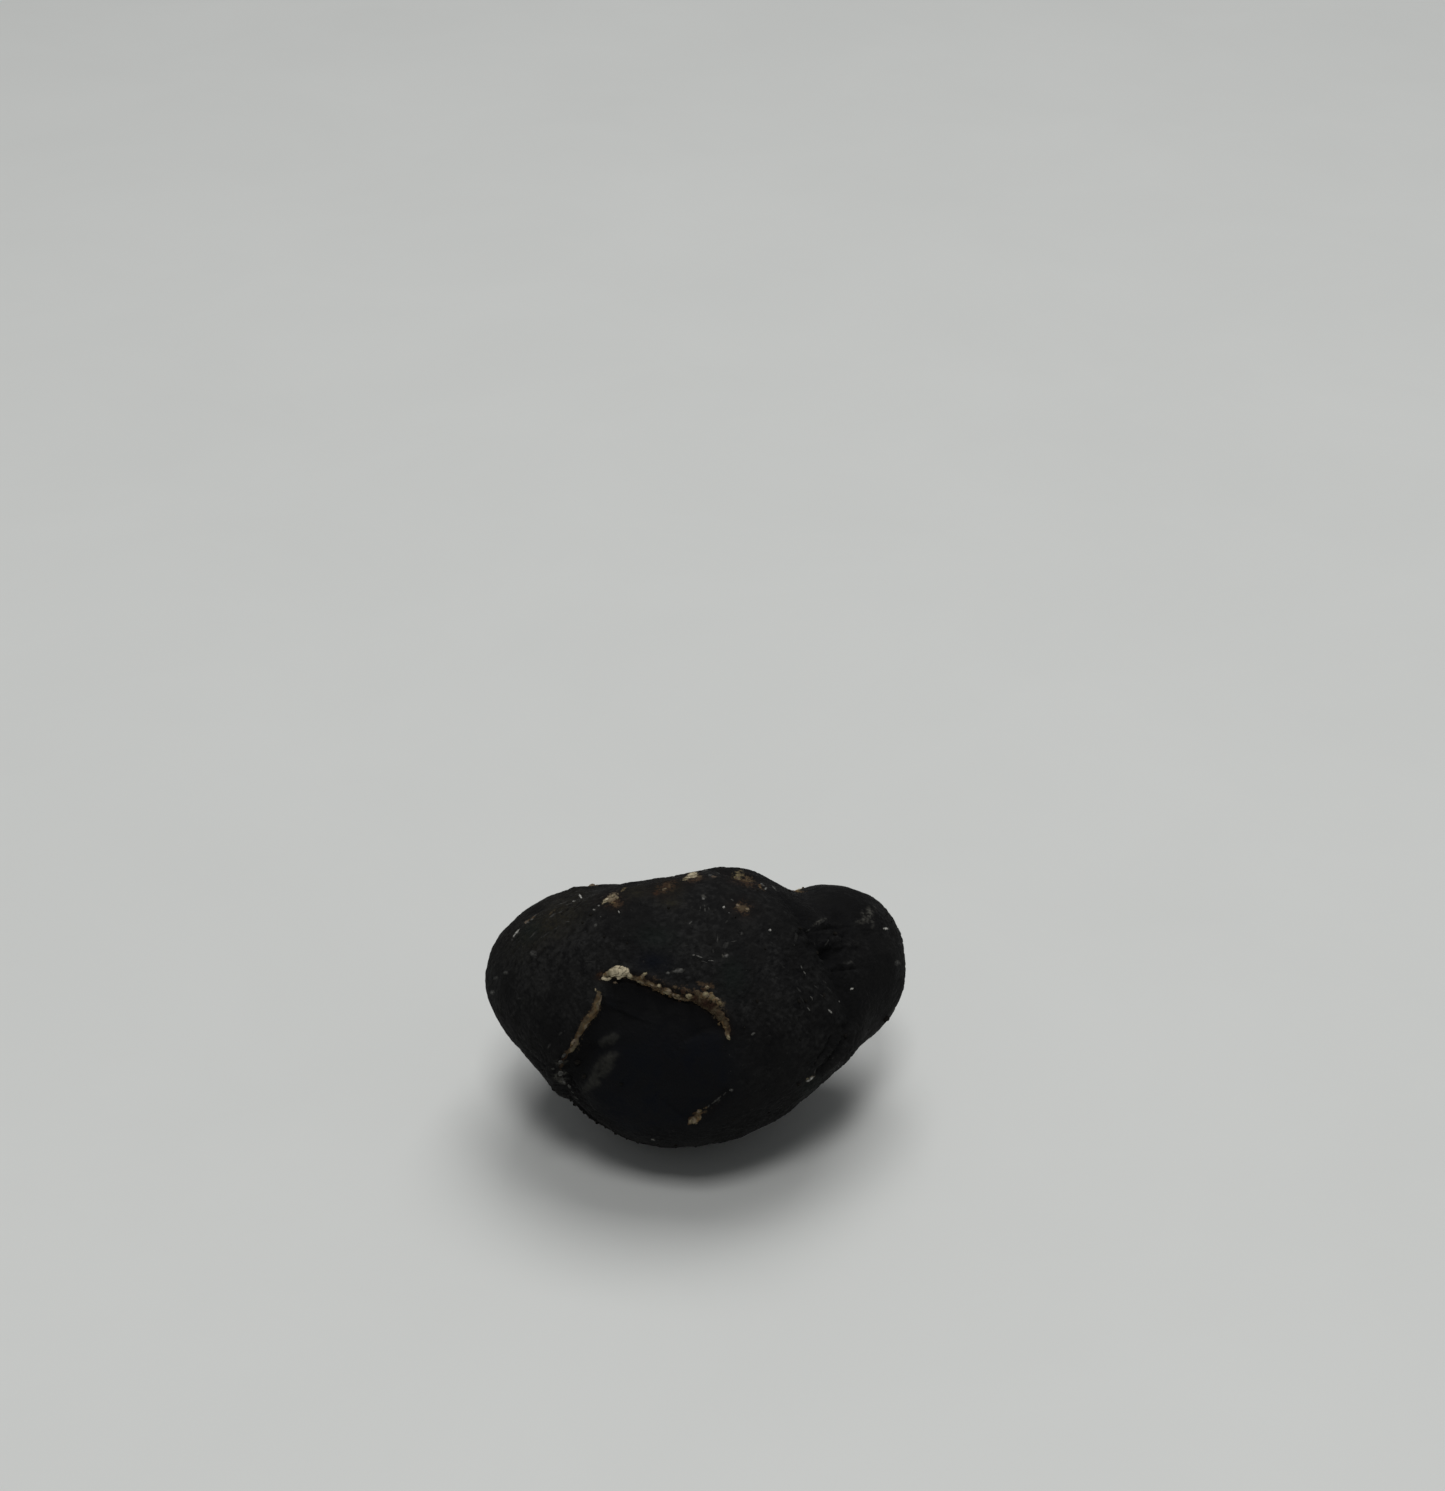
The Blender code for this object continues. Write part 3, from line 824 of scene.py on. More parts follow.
CRACK_STAIN = {"upper": 0.6, "left": 0.1, "low": 0.35, "back_long": 0.4, "back_short": 0.3}
CRACK_PAINT = 0.45

for name, rows in CRACK_FLESH.items():
    shares, half_widths, tones = zip(*rows)
    _, distance, side, along = crack_place[name]
    half_width = np.maximum(np.interp(along, shares, half_widths), 0.01)
    within = (along > shares[0]) & (along < shares[-1])
    mark = CRACK_PAINT * within * np.exp(-(((distance * side - CLIFF_MIDDLE) / half_width) ** 2))
    tone = np.where(mark > bare, np.interp(along, shares, tones), tone)
    bare = np.maximum(bare, mark)
    stain = CRACK_STAIN[name] * within * np.exp(-(((distance * side) / (half_width + CRACK_HALO)) ** 2))
    halo = np.maximum(halo, stain)
print("points with flesh:", int((bare > 0.3).sum()))

# %% Tints and dust, with painted light and shade
BLUISH = ((-5.2, 5.6, 2.4, 1.3, 0), (0.0, -7.0, 4.6, 4.8, 0), (-4.5, -11.5, 5.5, 3.4, 0),
          (-7.0, -2.0, 4.0, 2.6, -20))
GREENISH = ((-5.0, 8.6, 2.4, 1.4, 0), (4.4, 4.0, 1.6, 2.4, 0), (14.2, -9.6, 1.8, 0.9, 35),
            (-20.8, 9.4, 1.6, 1.2, 45))
OLIVE = ((-18.0, 11.0, 5.4, 2.2, 38), (-20.7, 9.2, 1.6, 0.7, 38),
         (-7.6, 14.3, 1.6, 0.8, 10), (-3.7, 14.6, 1.9, 1.1, 5), (-3.4, 13.2, 1.6, 0.8, 0))
MINERAL = ((21.1, 11.5, 1.4, 0.8, 45), (20.2, 10.7, 0.8, 0.45, 20), (21.7, 10.4, 0.35, 0.7, 0),
           (15.4, 10.7, 0.7, 0.3, 25), (18.6, 5.6, 0.5, 0.25, 0), (24.7, 5.5, 0.45, 0.4, 0),
           (-2.3, 4.55, 0.9, 0.42, 5), (-3.6, 4.3, 0.35, 0.35, 0), (-16.9, -6.6, 0.5, 0.5, 0),
           (-17.2, -8.3, 0.4, 0.6, 0), (-16.8, -9.2, 0.35, 0.6, 25), (0.9, 14.0, 0.4, 0.5, 60),
           (3.5, 6.6, 0.4, 0.35, 0), (2.3, -11.9, 1.3, 0.28, 43))
DUSTY = (
    (1.0, 13.0, 0.7, 1.5, 5), (3.2, 7.4, 1.0, 1.8, 15), (4.4, 7.0, 1.6, 0.7, -10), (1.8, 11.5, 1.2, 1.0, 30),
    (13.9, 3.0, 1.2, 1.6, -40), (-2.6, 5.0, 2.0, 0.4, 0), (-17.0, -8.5, 0.7, 1.2, 20),
    (-15.8, -10.8, 0.9, 0.6, -30), (2.4, 16.9, 3.6, 0.25, 2), (17.4, -7.4, 0.25, 1.2, -40),
    (18.4, -4.4, 0.2, 1.0, -35),
    (-14.3, 6.0, 3.2, 2.2, 30), (-21.0, 4.0, 1.6, 3.2, -20),
)
DUST_LEVEL = 0.38
GREYER_TOWARDS_TOP = 0.35
DUST_CLOUD = 5.0
DUST_CLOUD_SHARE = 0.45
SMALL_DUST_CLOUD = 1.8
SMALL_DUST_CLOUD_SHARE = 0.3
LEFT_DUST = 0.55
# The knob top is painted into shadow: it gets less grey, and more of the low mark.
KNOB_TOP = (20.5, 12.8, 4.8, 2.4, 0)
DUST_BARE_AND_SHADOWED = (KNOB_TOP, (-17.6, -3.4, 2.0, 2.0, 0))
KNOB_SHADE = 0.6
DARK_DEPTH = 0.8
TEAR_LENGTH = 0.7


def ovals(places):
    mask = np.zeros(len(base))
    for place in places:
        mask = np.maximum(mask, seen_oval(*place))
    return mask


torn = field(base, TEAR_LENGTH, 9.0)
# Grey dust, greyer towards the top. Painted light is mixed in: less grey on the shadowed knob top, and a
# painted highlight on the nest's cell tops.
dust_and_painted_light = DUST_LEVEL + GREYER_TOWARDS_TOP * directions[:, 2] + DUST_CLOUD_SHARE * field(base, DUST_CLOUD, 2.0)
dust_and_painted_light = np.clip(dust_and_painted_light + SMALL_DUST_CLOUD_SHARE * field(base, SMALL_DUST_CLOUD, 5.5), 0, 1)
dust_and_painted_light += LEFT_DUST * seen_oval(-19.5, 2.0, 8.0, 8.0)
dust_and_painted_light *= (1 - 0.75 * calm) * (1 - 0.55 * nest_share) * (1 - 0.8 * ovals(DUST_BARE_AND_SHADOWED))
dust_and_painted_light = np.maximum(dust_and_painted_light, ovals(DUSTY)) + nest_dust_and_highlight
mound_cloud = np.clip(0.9 + 0.7 * field(base, 0.8, 3.3) + 0.4 * field(base, 0.4, 8.1), 0, 1.4)
# Painted shade deep in cracks and pits, lightened a little on the lips.
hollow = (np.minimum(cracks_high, 0.2) + np.minimum(pits_high, 0.1)) / DARK_DEPTH
marks = {
    "bare": bare,
    "tone": tone,
    "halo": np.clip(halo, 0, 1),
    "sunken": sunken,
    "bluish": np.maximum(ovals(BLUISH), 0.8 * sunken) * (1 - mounded),
    "greenish": ovals(GREENISH),
    "olive": ovals(OLIVE) * (0.75 + 0.5 * torn),
    "mound": rise_between(mounded * mound_cloud, 0.12, 0.65),
    "mineral": ovals(MINERAL) * (0.7 + 0.9 * torn),
    "dust_and_painted_light": dust_and_painted_light,
    # painted shade: where nest cells meet, on the knob top, and deep in cracks and pits
    "low": np.clip(nest_painted_shade + KNOB_SHADE * seen_oval(*KNOB_TOP) - hollow, 0, 1),
    "grain": np.clip(0.6 * grain * grain_patch + 0.4 * fine_cell * fine_worn, 0, 1),
    "ridge": np.clip(0.5 + 0.5 * (left_streaks + right_streaks + middle_streaks + creased), 0, 1),
}
print("marks:", ", ".join(marks))


# %% Make the mesh
def as_mesh(name, net, points):
    for vert, point in zip(net.verts, points):
        vert.co = Vector(point * MM)
    mesh = bpy.data.meshes.new(name)
    net.to_mesh(mesh)
    mesh.shade_smooth()
    return mesh


def store(mesh, name, values):
    attribute = mesh.attributes.new(name, "FLOAT", "POINT")
    attribute.data.foreach_set("value", values.astype(np.float32))


skin_mesh = as_mesh("truffle_skin", skin_net, skin_points)
for name, values in marks.items():
    store(skin_mesh, name, values)
skin = bpy.data.objects.new("truffle_skin", skin_mesh)
bpy.context.scene.collection.objects.link(skin)
skin_faces = [[vert.index for vert in face.verts] for face in skin_net.faces]
skin_tree = BVHTree.FromPolygons([tuple(point) for point in skin_points], skin_faces)
skin_net.free()
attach(skin, BODY)
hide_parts(NODE)
print("skin faces:", len(skin_mesh.polygons))

# %% [markdown]
# ## Crumbly flesh
#
# The pale stuff in the cracks is dry flesh: a low strip all along each crack, tan and smooth, with lumps
# like curd on it, a fat cream one where the upper crack starts and smaller yellow ones further on.
# A painted band would look flat up close. So the strip is a string of flattened balls set close, each
# lump is a ball where it is seen, and a voxel remesh melts them together. The work is done in
# millimetres and scaled down at the end, because the remesh can't use voxels under a tenth of a
# millimetre.

# %% Lumps, big ones by place
LUMPS = (
    # across, up, half length, half width, clock angle, height, tone
    (-9.55, 4.4, 1.1, 0.72, -10, 0.72, 0.02), (-10.35, 4.35, 0.62, 0.6, 25, 0.6, 0.1),
    (-8.75, 4.4, 0.62, 0.5, -35, 0.58, 0.08), (-8.4, 3.95, 0.5, 0.4, -40, 0.42, 0.2),
    (-9.9, 3.95, 0.34, 0.3, 10, 0.62, 0.0), (-9.1, 4.75, 0.36, 0.3, 40, 0.62, 0.04),
    (-11.15, 4.15, 0.66, 0.36, 38, 0.42, 0.52), (-11.35, 3.65, 0.66, 0.3, -4, 0.42, 0.0),
    (-12.2, 4.1, 0.34, 0.16, 20, 0.14, RUST_TONE), (-10.6, 3.3, 0.35, 0.18, 0, 0.2, 0.5),
    (-7.75, 3.65, 0.5, 0.34, -12, 0.22, 0.86), (-6.75, 3.8, 0.42, 0.36, 0, 0.42, 0.4),
    (-6.35, 4.1, 0.28, 0.22, 20, 0.36, 0.28), (-6.9, 3.35, 0.4, 0.24, -10, 0.36, 0.5),
    (-6.0, 3.15, 0.36, 0.3, -20, 0.32, 0.66), (-5.3, 2.5, 0.6, 0.16, -25, 0.32, 0.44),
    (-4.7, 2.8, 0.34, 0.3, 0, 0.48, 0.24), (-4.95, 2.3, 0.34, 0.2, -20, 0.3, 0.6),
    (-3.6, 2.12, 0.62, 0.5, -12, 0.46, 0.36), (-3.0, 1.75, 0.3, 0.24, 0, 0.4, 0.5),
    (-2.5, 1.4, 0.66, 0.15, -22, 0.4, 0.2), (-1.0, 1.5, 0.46, 0.4, -12, 0.5, 0.31),
    (-1.75, 1.95, 0.4, 0.3, 0, 0.14, RUST_TONE), (-0.2, 0.9, 0.6, 0.22, -15, 0.28, 0.74),
    (0.1, 1.8, 0.6, 0.4, -10, 0.26, 0.84), (0.75, 2.35, 0.4, 0.3, -20, 0.2, 0.96),
    (1.24, 2.52, 0.38, 0.3, -30, 0.5, 0.42), (0.5, 1.35, 0.34, 0.3, 0, 0.34, 0.72),
    (1.1, 1.64, 0.46, 0.4, 0, 0.46, 0.36), (1.8, 1.3, 0.5, 0.42, -20, 0.48, 0.48),
    (2.3, 0.95, 0.5, 0.4, -20, 0.46, 0.42), (2.65, 0.6, 0.36, 0.3, -40, 0.38, 0.52),
    (1.75, 1.8, 0.3, 0.2, 0, 0.28, 0.6), (1.0, 0.35, 0.6, 0.28, -25, 0.26, 0.76),
    (1.9, 0.0, 0.5, 0.34, -38, 0.3, 0.66), (2.6, -0.6, 0.6, 0.34, -52, 0.3, 0.74),
    (3.1, -0.9, 0.4, 0.3, -60, 0.3, 0.56), (3.3, -1.7, 0.4, 0.26, -70, 0.3, 0.68),
    (3.6, -2.3, 0.24, 0.34, 0, 0.28, 0.62), (3.75, -3.0, 0.18, 0.26, 0, 0.22, 0.84),
    (3.84, -3.6, 0.28, 0.4, 20, 0.36, 0.33), (-2.7, 2.55, 0.3, 0.24, 0, 0.2, 0.84),
    (-12.5, 2.25, 0.08, 0.32, 0, 0.2, 0.25), (-15.3, -4.3, 0.24, 0.7, -35, 0.2, 0.47),
    (-12.15, 0.9, 0.12, 0.8, -15, 0.2, 0.5), (-13.2, -0.9, 0.3, 1.0, -38, 0.22, 0.62),
    (0.3, -12.95, 0.42, 0.46, 60, 0.32, 0.47), (-0.2, -14.0, 0.62, 0.4, 25, 0.3, 0.44),
    (0.3, -13.6, 0.4, 0.34, 25, 0.26, 0.54), (-0.85, -13.75, 0.4, 0.2, 50, 0.18, 0.9),
    (-0.35, -13.2, 0.36, 0.18, 50, 0.18, 0.92), (1.1, -12.5, 0.4, 0.2, 45, 0.16, 0.72),
    (-0.6, 16.35, 0.7, 0.36, 12, 0.36, 0.02), (-1.3, 16.0, 0.35, 0.2, 20, 0.28, 0.15),
    (5.1, 12.8, 0.3, 0.32, 0, 0.2, 0.46), (6.25, 12.3, 0.34, 0.28, 0, 0.2, 0.5),
    (5.2, 16.7, 0.5, 0.18, -5, 0.14, 0.5), (6.4, 16.2, 0.5, 0.16, -25, 0.12, 0.6),
    (-11.2, 13.25, 0.4, 0.22, 38, 0.26, 0.15), (-10.5, 13.7, 0.34, 0.26, 42, 0.28, 0.34),
    (-9.85, 13.5, 0.22, 0.34, 0, 0.24, 0.42), (-10.3, 12.9, 0.45, 0.22, -25, 0.2, 0.6),
    (-4.1, 14.85, 0.4, 0.16, 25, 0.16, 0.5),
)
BACK_LUMPS = (
    # longitude, latitude, size, tone
    (134, 27, 0.5, CREAM_TONE), (143, 30, 0.42, 0.1), (150, 28, 0.5, YELLOW_TONE),
    (158, 28, 0.36, TAN_TONE), (165, 32, 0.46, 0.15), (172, 32, 0.32, TAN_TONE),
    (171, 45, 0.36, 0.15), (126, 36, 0.36, TAN_TONE), (232, 36, 0.42, PINK_TONE),
    (211, -2, 0.34, PINK_TONE), (218, -9, 0.38, TAN_TONE),
)


def on_skin(point):
    """Where the ray from outside towards the heart meets the skin, and the skin's normal there."""
    outward = unit(point - HEART)
    place, normal, _, _ = skin_tree.ray_cast(Vector(HEART + outward * LONGEST_RADIUS), Vector(-outward))
    return np.array(place), np.array(normal)


def on_calm_skin(point):
    """Whether the point lies over the smooth sunken face."""
    outward = unit(point - HEART)
    _, _, face, _ = skin_tree.ray_cast(Vector(HEART + outward * LONGEST_RADIUS), Vector(-outward))
    return sunken[skin_faces[face][0]] > 0.3


def lying_axes(normal, clock):
    """Three axes on the surface: along the clock angle that the camera sees, beside it, and out."""
    turn = math.radians(clock)
    wish = math.cos(turn) * ACROSS + math.sin(turn) * UPWARD
    along = unit(wish - normal * (wish @ normal))
    return along, np.cross(normal, along), normal


LUMP_SINK = 0.25
LUMP_CURD = 1.0
lumps = []
for across, up, half_length, half_width, clock, height, lump_tone in LUMPS:
    place, normal = on_skin(seen_at(across, up))
    axes = lying_axes(normal, clock)
    shape = (half_length, half_width, height)
    lumps.append((place - normal * height * LUMP_SINK, axes, shape, lump_tone, LUMP_CURD))
for longitude, latitude, size, lump_tone in BACK_LUMPS:
    place, normal = on_skin(HEART + facing(longitude, latitude))
    shape = (size * 1.3, size, size * 0.8)
    lumps.append((place - normal * size * LUMP_SINK, lying_axes(normal, 0), shape, lump_tone, LUMP_CURD))
print("lumps by place:", len(lumps))

# %% The strip along each crack, and crumbs on it
STRIP_SPACING = 0.14
STRIP_LENGTH = 0.3
STRIP_WIDTH_CHANGE = 0.24
STRIP_CROWN = 0.4
STRIP_CROWN_CHANGE = 0.5
STRIP_THINNEST = 0.08
STRIP_SINK = 0.08
STRIP_SWAY = 0.16
STRIP_TONES = 0.1
STRIP_CURD = 0.6
STRIP_SEED = 57
STRIP_UNEVEN = {"upper": 1.0, "left": 0.15, "low": 0.4, "back_long": 0.8, "back_short": 0.5}
STREWN_LIFT = 0.1


def crack_spot(name, share, beside):
    """A place at that share of a crack, moved to its sunken side, with the crack's own axes there."""
    line = crack_line[name]
    at = share * (len(line) - 1)
    low = min(int(at), len(line) - 2)
    point = line[low] + (line[low + 1] - line[low]) * (at - low)
    along = unit(line[low + 1] - line[low])
    place, normal = on_skin(point + unit(np.cross(along, point - HEART)) * beside)
    across_it = unit(np.cross(normal, along))
    return place, (along, across_it, normal)


def strip(name):
    """Flattened balls set close along a crack, about as wide and as toned as CRACK_FLESH says."""
    shares, half_widths, tones = zip(*CRACK_FLESH[name])
    line = crack_line[name]
    length = np.linalg.norm(np.diff(line, axis=0), axis=1).sum() * (shares[-1] - shares[0])
    draw = random.Random(STRIP_SEED)
    uneven = STRIP_UNEVEN[name]
    balls = []
    for share in np.linspace(shares[0], shares[-1], int(length / STRIP_SPACING)):
        half_width = float(np.interp(share, shares, half_widths))
        place, axes = crack_spot(name, share, CLIFF_MIDDLE + uneven * draw.gauss(0, STRIP_SWAY) * half_width)
        half_width *= 1 + uneven * draw.uniform(-STRIP_WIDTH_CHANGE, STRIP_WIDTH_CHANGE)
        crown = STRIP_CROWN * (1 + uneven * draw.uniform(-STRIP_CROWN_CHANGE, STRIP_CROWN_CHANGE))
        shape = (STRIP_LENGTH, half_width, max(STRIP_THINNEST, half_width * crown))
        strip_tone = float(np.interp(share, shares, tones)) + draw.gauss(0, STRIP_TONES)
        balls.append((place - axes[2] * STRIP_SINK, axes, shape, strip_tone, STRIP_CURD * uneven))
    return balls


def strewn(name, start, end, every, spread, sizes, tones, seed):
    """Crumbs along a crack from one share of its length to another."""
    draw = random.Random(seed)
    length = np.linalg.norm(np.diff(crack_line[name], axis=0), axis=1).sum()
    count = int(length * (end - start) / every)
    crumbs = []
    for step in range(count):
        share = start + (end - start) * (step + draw.random()) / count
        place, axes = crack_spot(name, share, CLIFF_MIDDLE + draw.gauss(0, spread))
        size = draw.uniform(*sizes)
        shape = (size * draw.uniform(1, 1.6), size, size * 0.8)
        crumbs.append((place + axes[2] * STREWN_LIFT, axes, shape, draw.choice(tones), LUMP_CURD))
    return crumbs


MIXED = (YELLOW_TONE, OCHRE_TONE, TAN_TONE, OLIVE_TONE, BROWN_TONE)
STREWN = (
    # crack, first and last share of its length, spacing, spread, sizes, tones, seed
    ("upper", 0.23, 0.7, 0.28, 0.24, (0.12, 0.24), MIXED, 22),
    ("upper", 0.68, 0.95, 0.5, 0.26, (0.12, 0.24), MIXED[1:], 23),
    ("back_long", 0.12, 0.74, 0.25, 0.2, (0.12, 0.28), MIXED, 24),
    ("back_short", 0.25, 0.8, 0.3, 0.12, (0.1, 0.2), (PINK_TONE, TAN_TONE), 34),
)
for name in CRACK_FLESH:
    lumps += strip(name)
for stretch in STREWN:
    lumps += strewn(*stretch)
print("lumps in all:", len(lumps))

# %% Melt them together
VOXEL = 0.085
BALL_DETAIL = 2


def plain_ball():
    net = bmesh.new()
    bmesh.ops.create_icosphere(net, subdivisions=BALL_DETAIL, radius=1.0)
    points = np.array([vert.co[:] for vert in net.verts])
    faces = np.array([[vert.index for vert in face.verts] for face in net.faces])
    net.free()
    return points, faces


BALL_POINTS, BALL_FACES = plain_ball()


def ball(place, axes, shape, rough=0.0):
    """Points and faces of a ball drawn out to that shape along the axes."""
    points = BALL_POINTS
    if rough:
        bumps = [1 + rough * noise.noise(Vector(point * 1.7 + place)) for point in points]
        points = points * np.array(bumps)[:, None]
    return place + (points * shape) @ np.array(axes), BALL_FACES


def joined(name, parts):
    """One mesh from many lots of points and faces."""
    starts = np.cumsum([0] + [len(points) for points, _ in parts[:-1]])
    mesh = bpy.data.meshes.new(name)
    faces = [face for start, (_, faces) in zip(starts, parts) for face in (faces + start).tolist()]
    mesh.from_pydata(np.concatenate([points for points, _ in parts]).tolist(), [], faces)
    return mesh


def new_piece(name, mesh):
    piece = bpy.data.objects.new(name, mesh)
    bpy.context.scene.collection.objects.link(piece)
    return piece


flesh = new_piece("crack_flesh", joined("lumps", [ball(*lump[:3]) for lump in lumps]))
melt = flesh.modifiers.new("melt", "REMESH")
melt.mode = "VOXEL"
melt.voxel_size = VOXEL
melted = flesh.evaluated_get(bpy.context.evaluated_depsgraph_get())
flesh_mesh = bpy.data.meshes.new_from_object(melted)
flesh.modifiers.clear()
flesh.data = flesh_mesh
print("flesh faces:", len(flesh_mesh.polygons))

# %% Tone of each point of the flesh, from the lumps near it, and painted shade where it meets the skin
TONE_REACH = 0.25
STRIP_SHARE = 0.2
TONE_CLOUD = 0.9
SMALL_TONE_CLOUD = 0.4
TONE_SPREAD = 0.16
TONE_ACROSS = 0.14
CONTACT_SHADE_DEPTH = 0.13

points = np.array([vert.co[:] for vert in flesh_mesh.vertices])
normals = np.array([vert.normal[:] for vert in flesh_mesh.vertices])
total = np.zeros(len(points))
toned = np.zeros(len(points))
curdled = np.zeros(len(points))
for place, axes, shape, lump_tone, curd in lumps:
    offsets = (points - place) @ np.array(axes).T / np.array(shape)
    share = np.exp(-((np.linalg.norm(offsets, axis=1) / (1 + TONE_REACH)) ** 6)) * (STRIP_SHARE + curd) + 1e-9
    total += share
    toned += share * (lump_tone + TONE_ACROSS * (curd < LUMP_CURD) * np.clip(offsets[:, 1], -1, 1))
    curdled += share * curd
clouded = field(points, TONE_CLOUD, 4.2) + 0.7 * field(points, SMALL_TONE_CLOUD, 1.9)
flesh_tone = toned / total + TONE_SPREAD * clouded
skin_below = [skin_tree.find_nearest(Vector(point))[0] for point in points]
height_on_skin = np.linalg.norm(points - np.array(skin_below), axis=1)
store(flesh_mesh, "tone", np.clip(flesh_tone, 0, 1))
# Painted shade: darker where the flesh meets the skin.
painted_crevice_shade = 1 - rise_between(height_on_skin, 0.0, CONTACT_SHADE_DEPTH)

# %% Roughen the lumps, with creases like those of dry curd
CURD_BUMP = 0.06
CURD_BUMP_LENGTH = 0.55
CURD_GRIT = 0.025
CURD_GRIT_LENGTH = 0.24
CREASE_DEPTH = 0.11
CREASE_LENGTH = 0.7
HOLLOW_ROUNDS = 6
HOLLOW_DEPTH = 0.035
HOLLOW_SHADE = 0.85

rough = CURD_BUMP * field(points, CURD_BUMP_LENGTH) + CURD_GRIT * field(points, CURD_GRIT_LENGTH)
rough -= CREASE_DEPTH * np.clip(1 - 7 * np.abs(field(points, CREASE_LENGTH, 2.9)), 0, 1)
rough *= curdled / total
points = points + normals * rough[:, None]


def hollows(mesh):
    """How far each point lies under the middle of its neighbours, from 0 to 1."""
    edges = np.zeros(2 * len(mesh.edges), int)
    mesh.edges.foreach_get("vertices", edges)
    first, second = edges[0::2], edges[1::2]
    neighbours = np.bincount(edges, minlength=len(points))[:, None]
    softened = points.copy()
    for _ in range(HOLLOW_ROUNDS):
        pulled = np.zeros_like(points)
        np.add.at(pulled, first, softened[second])
        np.add.at(pulled, second, softened[first])
        softened = pulled / neighbours
    return np.clip(((softened - points) * normals).sum(1) / HOLLOW_DEPTH, 0, 1)


# Painted shade in the flesh's own hollows too.
painted_crevice_shade = np.maximum(painted_crevice_shade, HOLLOW_SHADE * hollows(flesh_mesh))
store(flesh_mesh, "painted_crevice_shade", painted_crevice_shade)
flesh_mesh.vertices.foreach_set("co", (points * MM).astype(np.float32).ravel())
flesh_mesh.shade_smooth()
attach(flesh, BODY)

# %% [markdown]
# ## Grit, scuffs and crumbs
#
# A brushed truffle keeps some grit: pale specks, scuffed slivers of skin and crumbs of soil in its
# folds. They are tiny, but they catch the light and give the black its scale. A scuff is no ball on
# top: the skin itself is scraped pale, and fades back to black at its edge. So each one is a thin flake
# laid on the skin ring by ring, sunk at its rim, and its brightness falls off from the middle. Crumbs
# are rough balls. All of one kind are one piece.

